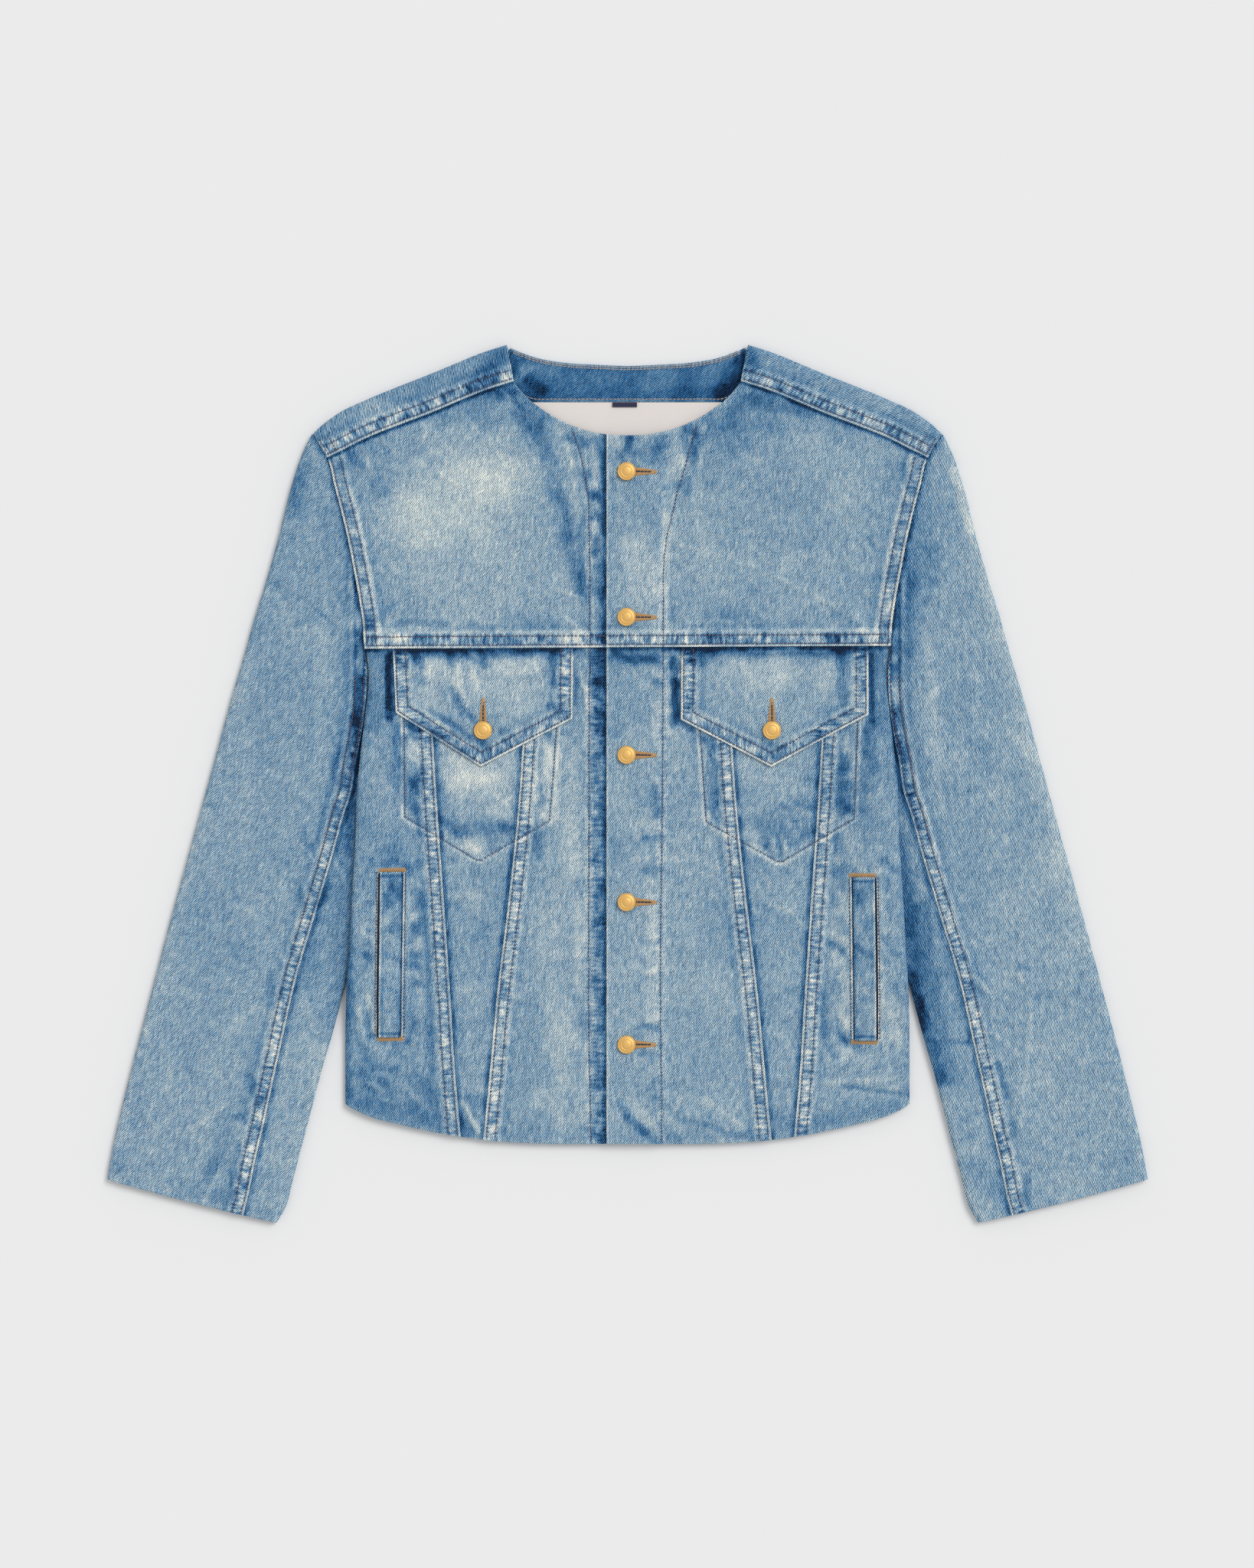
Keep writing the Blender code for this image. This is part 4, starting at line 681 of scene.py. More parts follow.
def side_seed(side, seed):
    """A seed for uneven wear that differs between the jacket's halves."""
    return seed if side == LEFT else seed + OTHER_HALF


def lapped(over, run, seed, rope=0.1, cast=0.15, pucker=0.05, rows=TWIN_ROWS):
    """Tone and relief of a lapped seam: over is the distance in from its folded edge, negative below it,
    where the tone is painted shadow of the lap with faint puckers.
    """
    far, last = np.abs(over), rows[-1]
    blotch = np.tanh(2.4 * noise(run / 7.0, far / 12, seed) + 0.8 * noise(run / 31, 0, seed + 6))
    blotch = blotch * window(far, 1.4, 3.2, last - 0.8, last + 3)
    tone = rope * blotch + lines(far, LAP_TONE) + lines(far - last, PAST_ROWS_TONE)
    relief = 0.20 * blotch + lines(far - last, PAST_ROWS_RELIEF)
    for row in rows:
        tone = tone + lines(far - row, ROW_TONE)
        relief = relief + lines(far - row, ROW_RELIEF)
    gather = noise(run / 5.5, far / 30, seed + 3) * np.exp(-far / 14) * ramp(far, 1, 4)
    past = gather * ramp(far, last + 1, last + 4)
    uneven = 1 + 0.6 * noise(run / 9, 0, seed + 4)
    # Below the folded edge: painted shadow of the lap, uneven along the seam.
    shade = -cast * uneven * (hump(far - 1.3, 1.7) + 0.35 * np.exp(-far / 4))
    tone = np.where(over >= 0, tone + pucker * past, shade + pucker * gather)
    return tone, np.where(over >= 0, relief + 0.2 * past, 0.25 * gather)


def in_band(over):
    """1 between a lapped seam's stitch rows, where the cloth is roped across the seam."""
    return window(over, 0.9, 2.8, TWIN_ROWS[-1] + 0.5, TWIN_ROWS[-1] + 4)


def topstitched(off, run, seed, light):
    """Tone and relief of a single stitch line; off is the distance from it, of either sign."""
    far = np.abs(off)
    uneven = 0.6 + 0.6 * noise(run / 9, 0, seed)
    gather = noise(run / 6, far / 30, seed + 2) * np.exp(-far / 8) * ramp(far, 0.8, 3)
    tone = light * uneven * hump(far - TOPSTITCH_REACH, 1.5) - 0.11 * hump(far, 0.8) + 0.06 * gather
    return tone, lines(far, TOPSTITCH_RELIEF) + 0.2 * gather


def patches(x, y, inside, seed, amount, wide, tall):
    """Blotches of kept and lost dye where inside is 1."""
    blotch = np.tanh(2.6 * noise(x / wide, y / tall, seed) + 0.8 * noise(x / 4, y / 5, seed + 1)) * inside
    return amount * blotch, 0.12 * blotch


def cloth_tone(x, y, base):
    """The dye's own unevenness: broad clouds, and faint streaks along the warp."""
    streaks = noise(x / 3.2, y / 60, 21) + 0.7 * noise(x / 9, y / 140, 22)
    return base + 0.022 * clouds(x, y, 55, 23) + 0.026 * clouds(x, y, 15, 25) + 0.014 * streaks


def in_pocket(side, x, y):
    """1 inside the chest pocket's stitch line."""
    corners = np.array(POCKETS[side])
    inner, outer = corners[0][0], corners[-1][0]
    low = np.interp(x, corners[:, 0], np.minimum(corners[:, 1], -20))
    return window(x, inner + 2, inner + 7, outer - 7, outer - 2) * ramp(y, low + 2, low + 8)


def outside_pocket(side, x, y):
    """Whether a point is outside the chest pocket's stitch line."""
    corners = np.array(POCKETS[side])
    inner = np.interp(y, corners[1::-1, 1], corners[1::-1, 0])
    outer = np.interp(y, corners[-2:, 1], corners[-2:, 0])
    return (x < inner) | (x > outer) | (y < np.interp(x, corners[1:-1, 0], corners[1:-1, 1]))


def welt_line(side, y):
    """x of the welt's inner edge at a height."""
    low, top = WELT_ENDS[side]
    return WELT_IN - WELT_SLANT * (top - y) / (top - low)


def welt_window(side, y):
    """1 beside a hand pocket's welt, 0 above and below it."""
    low, top = WELT_ENDS[side]
    return window(y, low - 2, low + 1, top - 1, top + 2)


def welt_corners(side):
    """The stitch line round a hand pocket's welt."""
    low, top = WELT_ENDS[side]
    low_in, top_in = (x - WELT_STITCH for x in (WELT_IN - WELT_SLANT, WELT_IN))
    low_out, top_out = (x + WELT_STITCH for x in (WELT_OUT - WELT_SLANT, WELT_OUT))
    return (low_in, low), (top_in, top), (top_out, top), (low_out, low), (low_in, low)


def welt_opening(side, x, y):
    """Tone and relief of the cloth turned back along a hand pocket: pale worn ridges, and painted shadow in
    its dark slits.
    """
    inner = welt_line(side, y) - x
    outer = -inner - WELT_WIDE
    at_welt = welt_window(side, y)
    tone = lines(outer, OUTER_OPENING_TONE) + lines(inner, INNER_OPENING_TONE)
    return tone * at_welt, (0.4 * hump(outer - 1.7, 0.9) + 0.3 * hump(inner - 1.3, 0.8)) * at_welt


def facing_fold(x):
    """1 over the turned edge of the lower front, beside the placket."""
    return 1 - ramp(x, *FACING_FOLD)


def above_hem(x, y):
    """Distance of a point above the hem."""
    return y - smooth(HEM, np.abs(x))


def body_wear_and_shade(side, x, y):
    """Tone and relief of the body's front: worn and kept dye, and painted shadow beside its seams, the
    placket, the flaps and the pockets' slits.
    """
    signed = side * x
    chest = y - chest_y(side, x)
    below = chest < 0
    wear_and_shade = WearAndShade(cloth_tone(signed, y, BODY_TONE))
    wear_and_shade.add(*strokes(BODY_STROKES, signed, y))
    wear_and_shade.add(*lapped(chest, signed, 31, rope=0.11, cast=0.20, pucker=0.07))
    # Painted shadow below the chest seam, deeper beside the flaps.
    wear_and_shade.add(-(0.12 + 0.12 * ramp(x, 30, 44)) * hump(chest, 5.0), share=below)
    wear_and_shade.add(lines(chest, CHEST_TONE))
    shoulder = -from_line(SHOULDER_SEAM, x, y)
    on_shoulder = x > NECK_CORNER - 4
    wear_and_shade.add(*lapped(-np.maximum(shoulder, JUST_PAST), signed, 33, cast=0.16, pucker=0.09), share=on_shoulder)
    # Painted shadow line under the back yoke's edge along the shoulder seam.
    wear_and_shade.add(-0.22 * hump(shoulder - 1.0, 0.9), share=on_shoulder)
    arm = -from_line(ARMHOLE, y, x)
    at_arm = ramp(chest, -1, 1)
    wear_and_shade.add(*lapped(np.maximum(arm, 0), y, side_seed(side, 35)), share=at_arm)
    wear_and_shade.add(lines(arm, ARM_TONE), share=at_arm)
    for rows, sign, seed in ((CENTER_SEAM, -1, 37), (SIDE_SEAM, 1, 39)):
        over = sign * from_line(rows, y, x)
        wear_and_shade.add(*lapped(over, y, side_seed(side, seed), rope=0.08, cast=0.18), share=below)
    line = from_line(FACING_LINES[side], y, x)
    wear_and_shade.add(*topstitched(line, y, side_seed(side, 41), 0.07))
    if side == RIGHT:
        wear_and_shade.add(*patches(signed, y, facing_fold(x), 43, 0.10, 9, 12))
        # Painted shadow cast by the top placket on the front under it, and darker over the turned edge.
        wear_and_shade.add(lines(x, UNDERLAP_SHADOW) - 0.07 * facing_fold(x))
    else:
        wear_and_shade.add(0.14 * hump(x - PLACKET_EDGE - 0.4, 1.2))
        wear_and_shade.add(*patches(signed, y, hump(line + 6, 5), 45, 0.06, 12, 11))
    neck = y - smooth(FRONT_NECK, np.abs(x))
    at_neck = x < NECK_CORNER
    wear_and_shade.add(0.06 * hump(neck, 2.0), share=at_neck)
    wear_and_shade.add(*patches(signed, y, hump(neck + 9, 8) * at_neck, 47, 0.08, 9, 16))
    off, run = from_corners(POCKETS[side], x, y)
    wear_and_shade.add(*topstitched(off, run, side_seed(side, 49), 0.10))
    wear_and_shade.add(0.12, 0.3, share=hump(off - 1.7, 1.0) * outside_pocket(side, x, y))
    inside = in_pocket(side, x, y)
    wear_and_shade.add(0, 0.35, share=inside)
    wear_and_shade.add(*patches(signed, y, inside * hump(off - 6, 6), 51, 0.10, 10, 12))
    off, run = from_corners(welt_corners(side), x, y)
    wear_and_shade.add(*topstitched(off, run, side_seed(side, 53), 0.05))
    # Pale worn ridges beside the hand pocket, and painted shadow in its slits.
    wear_and_shade.add(*welt_opening(side, x, y))
    wear_and_shade.add(*patches(signed, y, hump(off - 6, 7), 55, 0.07, 7, 9))
    hem = above_hem(x, y)
    wear_and_shade.add(-0.045 * hump(hem - 7, 5) * (1 - 0.5 * hump(x, 90)) + 0.03 * hump(hem, 1.2))
    tone, relief = wear_and_shade.held()
    (low_in, _), _, (low_out, _) = FLAP_CORNERS[side]
    low = flap_low(side, x)
    under_flap = window(x, low_in - 3, low_in, low_out, low_out + 3) * ramp(y, low - 3, low + 1) * below
    under_welt = welt_window(side, y) * window(x, WELT_IN - 1, WELT_IN, WELT_OUT, WELT_OUT + 1)
    return tone, relief * (1 - under_flap) * (1 - under_welt)


def body_ropes(side, x, y):
    """Roping of the body's seams: above 0 it crosses an upright seam, below 0 a level one."""
    chest = y - chest_y(side, x)
    seams = np.maximum(in_band(-from_line(CENTER_SEAM, y, x)), in_band(from_line(SIDE_SEAM, y, x)))
    strip = 0.5 * (side == RIGHT) * facing_fold(x) + 0.35 * hump(x - smooth(FACING_LINES[side], y), 5)
    arm = 0.6 * in_band(-from_line(ARMHOLE, y, x)) * ramp(chest, 10, 16)
    return np.clip((seams + strip) * (chest < 0) + arm, 0, 1) - in_band(chest)


def flap_low(side, x):
    """Lower edge of a pocket flap."""
    corners = np.array(FLAP_CORNERS[side])
    return np.interp(x, corners[:, 0], corners[:, 1])


def flap_outline(side):
    """The flap's free edge, from its inner top corner round the point to its outer one."""
    top_in, top_out = FLAP_TOPS[side]
    return ((top_in, CHEST_Y),) + FLAP_CORNERS[side] + ((top_out, CHEST_Y),)


def flap_wear_and_shade(side, x, y):
    """Tone and relief of a pocket flap: worn and kept dye, and painted shadow under the chest seam."""
    signed = side * x
    seed = side_seed(side, 61)
    off, run = from_corners(flap_outline(side), x, y)
    chest = y - chest_y(side, x)
    uneven = 1 + 0.7 * noise(signed / 13, 0, seed + 7)
    wear_and_shade = WearAndShade(cloth_tone(signed, y, FLAP_TONE) + 0.13 * hump(off - 0.7, 1.0))
    wear_and_shade.add(*lapped(off, run, seed, rope=0.15, rows=FLAP_ROWS))
    # Painted shadow of the chest seam's lap along the flap's top.
    wear_and_shade.add(*lapped(np.minimum(chest, -JUST_PAST), signed, seed + 5, cast=0.22))
    wear_and_shade.add(*strokes(FLAP_STROKES, signed, y))
    # Darker band under the chest seam: dye kept there, and painted shadow.
    wear_and_shade.add(-0.26 * hump(chest, 4.5) - 0.16 * uneven * hump(chest + 4, 4.5))
    return wear_and_shade.held(FLAP_RELIEF_HIGH)


def flap_ropes(side, x, y):
    """Roping along the flap's free edge: across the upright sides and along its slanted ones."""
    off, run = from_corners(flap_outline(side), x, y)
    inner = CHEST_Y - FLAP_CORNERS[side][0][1]
    outer = run[0, -1] - (CHEST_Y - FLAP_CORNERS[side][-1][1])
    upright = 1 - ramp(run, inner - 4, inner + 4) + ramp(run, outer - 4, outer + 4)
    return in_band(off) * (2 * upright - 1)


def welt_wear_and_shade(side, x, y):
    """Tone and relief of a hand pocket's welt: worn dye, and a painted shadow line along its inner edge."""
    signed = side * x
    inner = x - welt_line(side, y)
    outer = WELT_WIDE - inner
    low, top = WELT_ENDS[side]
    wear_and_shade = WearAndShade(cloth_tone(signed, y, WELT_TONE))
    wear_and_shade.add(*patches(signed, y, 1.0, 71, 0.06, 8, 12))
    wear_and_shade.add(*strokes(WELT_STROKES, signed, y))
    # A pale worn roll along the outer edge, and a painted shadow line along the inner edge.
    wear_and_shade.add(lines(outer, WELT_EDGE_TONE) - 0.16 * hump(inner, 1.6))
    wear_and_shade.add(lines(top - y, WELT_END_TONE) + lines(y - low, WELT_END_TONE))
    return wear_and_shade.tone, wear_and_shade.relief + 0.2 * noise(signed / 6, y / 9, 73) + 0.35 * hump(outer - 0.8, 0.9)


def sleeve_wear_and_shade(side, x, y):
    """Tone and relief of a sleeve: worn and kept dye, and painted shadow beside the body and below the seams'
    edges.
    """
    signed = side * x
    seed = side_seed(side, 81)
    arm = from_line(ARMHOLE, y, x)
    at_arm = ramp(y, 86, 92)
    # Painted shadow beside the body, which lies over the sleeve there.
    beside = np.exp(-np.maximum(x - smooth(BODY_SIDE, y), 0) / 16) * window(y, -215, -180, 75, 110)
    wear_and_shade = WearAndShade(cloth_tone(signed, y, SLEEVE_TONE) - SLEEVE_SHADE[side] * beside)
    # The front seam and the armhole, each with painted shadow below its folded edge, and a painted shadow
    # line just beside the armhole.
    wear_and_shade.add(*lapped(from_line(SLEEVE_SEAM, y, x), y, seed, rope=0.12, cast=0.17, pucker=0.06))
    wear_and_shade.add(*lapped(-np.maximum(arm, JUST_PAST), y, seed + 4, cast=0.13), share=at_arm)
    wear_and_shade.add(-0.12 * hump(arm - 1.0, 0.9), share=at_arm)
    wear_and_shade.add(*strokes(SLEEVE_STROKES, signed, y))
    return wear_and_shade.held()


def shoulder_wear(side, x, y):
    """Tone and relief of the back yoke where it comes over the shoulder."""
    signed = side * x
    over = from_line(SHOULDER_SEAM, x, y)
    tone, relief = lapped(np.maximum(over, 0), signed, 91, rope=0.16)
    tone = tone + 0.08 * hump(over - 0.9, 0.8) + lines(-from_line(ARMHOLE, y, x), SHOULDER_ARM_TONE)
    neck = np.hypot(x - NECK_CORNER - 2, (y - 320) * 0.2)
    tone = tone + cloth_tone(signed, y, SHOULDER_TONE) + 0.04 * hump(neck, 3)
    return tone + strokes(SHOULDER_STROKES, signed, y)[0], relief


def back_wear_and_shade(side, x, y):
    """Tone of the back, which lies on the surface, with its seams and yoke worn as the front's are, and a
    line of painted shade beside each seam.
    """
    signed = side * x
    seams = lines(from_line(BACK_SEAM, y, x), BACK_SEAM_TONE) + lines(y - BACK_YOKE_Y, BACK_SEAM_TONE)
    tone = cloth_tone(signed, y, BODY_TONE) + 0.03 * clouds(signed, y, 90, 95)
    return tone + seams - 0.05 * hump(above_hem(x, y) - 7, 5)


# ---------------------------------------------------------------- meshes

def stack(x, y, z):
    """Points from their coordinates."""
    return np.stack(np.broadcast_arrays(x, y, z), axis=-1).astype(float)


def columns(low, high, near_low=(), near_high=(), step=1.8):
    """Grid lines from low to high: at set distances from both ends, and about a step apart between."""
    low, high = np.broadcast_arrays(np.asarray(low, float), np.asarray(high, float))
    near_low, near_high = (0.0,) + tuple(near_low), (0.0,) + tuple(near_high)
    start, end = low + near_low[-1], high - near_high[-1]
    count = max(1, int(np.ceil(np.max(end - start) / step)))
    parts = [low + distance for distance in near_low[:-1]]
    parts += [start + (end - start) * share for share in np.linspace(0, 1, count + 1)]
    parts += [high - distance for distance in near_high[-2::-1]]
    return np.stack(parts, axis=-1)


def edge_drop(distance, radius=0.6):
    """How far a cloth edge rounds down at a distance in from it."""
    inward = radius - np.clip(distance, 0, radius)
    return radius - np.sqrt(radius * radius - inward * inward)


def fill_mesh(name, points, faces, material, smooth_below=50):
    """An object from points in millimetres and faces of any size."""
    mesh = bpy.data.meshes.new(name)
    mesh.from_pydata([tuple(point) for point in points * MM], [], faces)
    builder = bmesh.new()
    builder.from_mesh(mesh)
    bmesh.ops.recalc_face_normals(builder, faces=builder.faces)
    builder.to_mesh(mesh)
    builder.free()
    mesh.shade_smooth()
    mesh.set_sharp_from_angle(angle=np.radians(smooth_below))
    mesh.materials.append(material)
    piece = bpy.data.objects.new(name, mesh)
    bpy.context.scene.collection.objects.link(piece)
    return piece


def ring_faces(rings, sides):
    """Faces between rings of points that follow each other."""
    return [(low + k, low + (k + 1) % sides, low + sides + (k + 1) % sides, low + sides + k)
            for low in range(0, (rings - 1) * sides, sides) for k in range(sides)]


def turn(x, y, degrees=0):
    """Grain coordinates of a piece whose warp leans by an angle from the y axis."""
    angle = np.radians(degrees)
    return stack(x * np.cos(angle) + y * np.sin(angle), y * np.cos(angle) - x * np.sin(angle), 0)[..., :2]


def cells(index, i, j):
    """The corners of a grid's cells, in turn."""
    return np.stack((index[i, j], index[i, j + 1], index[i + 1, j + 1], index[i + 1, j]), axis=1)


def open_rim(index, coarse, i, j):
    """Faces that join two grids of the same size round the edges of the cells that are kept."""
    edges = set()
    for p, q in zip(i, j):
        ring = ((p, q), (p, q + 1), (p + 1, q + 1), (p + 1, q))
        edges.update(zip(ring, ring[1:] + ring[:1]))
    return [(index[c], index[a], coarse[a], coarse[c]) for a, c in sorted(edges) if (c, a) not in edges]


def border_rim(index, coarse, some_rows, some_cols):
    """Faces that join a fine grid's border to a coarser one's."""
    faces = []
    for spots, fine, rough in ((some_cols, index[0], coarse[0]), (some_cols, index[-1], coarse[-1]),
                               (some_rows, index[:, 0], coarse[:, 0]),
                               (some_rows, index[:, -1], coarse[:, -1])):
        for k, (low, high) in enumerate(zip(spots, spots[1:])):
            faces.append([rough[k + 1], rough[k]] + fine[low:high + 1].tolist())
    return faces


def shell(name, outer, inner, tone, grain, material, kept=None, skip=4, ropes=0.0):
    """A closed cloth shell: a fine outer face, a coarser inner one, and a rim between them."""
    rows, cols = outer.shape[:2]
    index = np.arange(rows * cols).reshape(rows, cols)
    if kept is not None:
        skip = 1
    some_rows, some_cols = (np.unique(np.append(np.arange(0, size, skip), size - 1)) for size in (rows, cols))
    coarse = rows * cols + np.arange(len(some_rows) * len(some_cols)).reshape(len(some_rows), -1)
    if kept is None:
        i, j = np.nonzero(np.ones((rows - 1, cols - 1)))
        a, b = np.nonzero(np.ones((len(some_rows) - 1, len(some_cols) - 1)))
        rim = border_rim(index, coarse, some_rows, some_cols)
    else:
        i, j = a, b = np.nonzero(kept)
        rim = open_rim(index, coarse, i, j)
    faces = cells(index, i, j).tolist() + cells(coarse, a, b)[:, ::-1].tolist() + rim
    pick = np.ix_(some_rows, some_cols)
    points = np.concatenate((outer.reshape(-1, 3), inner[pick].reshape(-1, 3)))
    tone, ropes = np.broadcast_to(tone, (rows, cols)), np.broadcast_to(ropes, (rows, cols))
    tones = np.concatenate((tone.ravel(), tone[pick].ravel() + INSIDE_PALER))
    ropes = np.concatenate((ropes.ravel(), np.zeros(coarse.size)))
    grains = np.concatenate((grain.reshape(-1, 2), grain[pick].reshape(-1, 2)))
    used = np.unique(np.concatenate([np.asarray(face) for face in faces]))
    number = np.zeros(len(points), int)
    number[used] = np.arange(len(used))
    number = number.tolist()
    faces = [[number[vertex] for vertex in face] for face in faces]
    piece = fill_mesh(name + "_cloth", points[used], faces, material)
    mesh = piece.data
    for title, values in (("tone", tones[used]), ("ropes", ropes[used])):
        mesh.attributes.new(title, "FLOAT", "POINT").data.foreach_set("value", values.astype(np.float32))
    corner = np.zeros(len(mesh.loops), np.int32)
    mesh.loops.foreach_get("vertex_index", corner)
    # The grain is kept as a UV map in metres.
    layer = mesh.uv_layers.new(name="grain")
    layer.uv.foreach_set("vector", (grains[used][corner] * MM).astype(np.float32).ravel())
    return piece


def place(piece, node, slot):
    """The piece rides on the jacket and stands for a solid."""
    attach(piece, "root")
    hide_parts(node)
    return piece


def cut(plain, kept=None, held="laid"):
    diagonals = plain[1:, 1:] - plain[:-1, :-1], plain[1:, :-1] - plain[:-1, 1:]
    areas = np.linalg.norm(np.cross(*diagonals), axis=2) / 2
    if held == "laid":
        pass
    else:
        across, down = (np.linalg.norm(np.diff(plain, axis=axis), axis=2) for axis in (1, 0))
        if kept is not None:
            areas = areas * kept
            across = across * np.concatenate((kept, kept[-1:]))
            down = down * np.concatenate((kept, kept[:, -1:]), axis=1)


def sew_in(name, outer, inner, tone, grain, material, plain, held="laid", **how):
    """A denim shell that stands for the solid of its name."""
    piece = shell(name, outer, inner, tone, grain, material, **how)
    cut(plain, how.get("kept"), held)
    place(piece, name, "denim")


# ---------------------------------------------------------------- materials

class Nodes:
    """Small helper that adds and links shader nodes."""

    def __init__(self, material):
        material.use_nodes = True
        self.tree = material.node_tree
        self.shader = self.tree.nodes["Principled BSDF"]

    def add(self, kind, values=(), **settings):
        """A new node with its settings, and values or links for its sockets by name."""
        node = self.tree.nodes.new(kind)
        for name, value in settings.items():
            setattr(node, name, value)
        for name, value in dict(values).items():
            self.feed(node.inputs[name], value)
        return node

    def feed(self, target, value):
        """Links another node's output to a socket, or sets the socket's own value."""
        if isinstance(value, bpy.types.NodeSocket):
            self.tree.links.new(value, target)
        else:
            target.default_value = value

    def set(self, values):
        """Feeds the shader's own sockets, by name."""
        for name, value in values.items():
            self.feed(self.shader.inputs[name], value)

    def math(self, operation, *terms, kind="ShaderNodeMath"):
        """The output of a new arithmetic node over the given terms."""
        node = self.add(kind, operation=operation)
        for target, value in zip(node.inputs, terms):
            self.feed(target, value)
        return node.outputs[0]

    def times(self, first, factor):
        return self.math("MULTIPLY", first, factor)

    def times_add(self, first, factor, base):
        return self.math("MULTIPLY_ADD", first, factor, base)

    def dot(self, vector, direction):
        node = self.add("ShaderNodeVectorMath", operation="DOT_PRODUCT")
        self.feed(node.inputs[0], vector)
        self.feed(node.inputs[1], direction)
        return node.outputs["Value"]

    def noise(self, place, wide, tall, detail=1.0, rough=0.5):
        """Noise from -1 to 1 over a pair of coordinates, with lumps of the given size."""
        scaled = [self.math("DIVIDE", value, size) for value, size in zip(place, (wide, tall))]
        vector = self.add("ShaderNodeCombineXYZ", {"X": scaled[0], "Y": scaled[1]}).outputs[0]
        node = self.add("ShaderNodeTexNoise", {"Vector": vector, "Scale": 1.0, "Detail": detail,
                                               "Roughness": rough}, noise_dimensions="2D")
        return self.times_add(node.outputs["Fac"], 2.0, -1.0)

    def attribute(self, name):
        """A value that is stored on the points."""
        return self.add("ShaderNodeAttribute", attribute_name=name).outputs["Fac"]

    def ramp(self, value, stops):
        """The colour at a value, from rows of position and colour."""
        node = self.add("ShaderNodeValToRGB", {"Fac": value})
        points = node.color_ramp.elements
        points[0].position, points[1].position = stops[0][0], stops[-1][0]
        for position, _ in stops[1:-1]:
            points.new(position)
        for point, (_, color) in zip(points, stops):
            point.color = (*linear(color), 1)
        return node.outputs["Color"]

    def bump(self, height, strength, distance):
        """Tilts the shader's normal by a height."""
        node = self.add("ShaderNodeBump", {"Height": height, "Strength": strength, "Distance": distance})
        self.set({"Normal": node.outputs["Normal"]})


def linear(color):
    """A colour seen on a screen, 0 to 255, as linear light."""
    share = np.array(color) / 255
    return tuple(float(v) for v in np.where(share < 0.04045, share / 12.92, ((share + 0.055) / 1.055) ** 2.4))


# Tone and the colour that the denim has there.
DENIM_COLORS = ((0.12, (5, 29, 58)), (0.21, (11, 53, 95)), (0.30, (22, 80, 130)), (0.375, (41, 99, 149)),
                (0.45, (66, 119, 161)), (0.53, (97, 139, 170)), (0.61, (124, 158, 181)),
                (0.68, (148, 173, 188)), (0.76, (177, 194, 200)), (0.86, (207, 215, 212)),
                (0.98, (240, 239, 227)))
DISPLAY_GAMMA = 2.2
TWILL_PITCH = 1.24
TWILL_ANGLE = 55
TWILL_BEND = 1.6
ROPING = 0.42
WEAVE_SHARE, SPECK_SHARE, SLUB_SHARE, BLOT_SHARE = 0.30, 0.23, 0.12, 0.11
# The mean of the yarns' squared tone, which is taken off and given back.
YARN_MEAN = 0.037
# Metres.
WEAVE_DEPTH, PLAIN_DEPTH = 0.00018, 0.0002


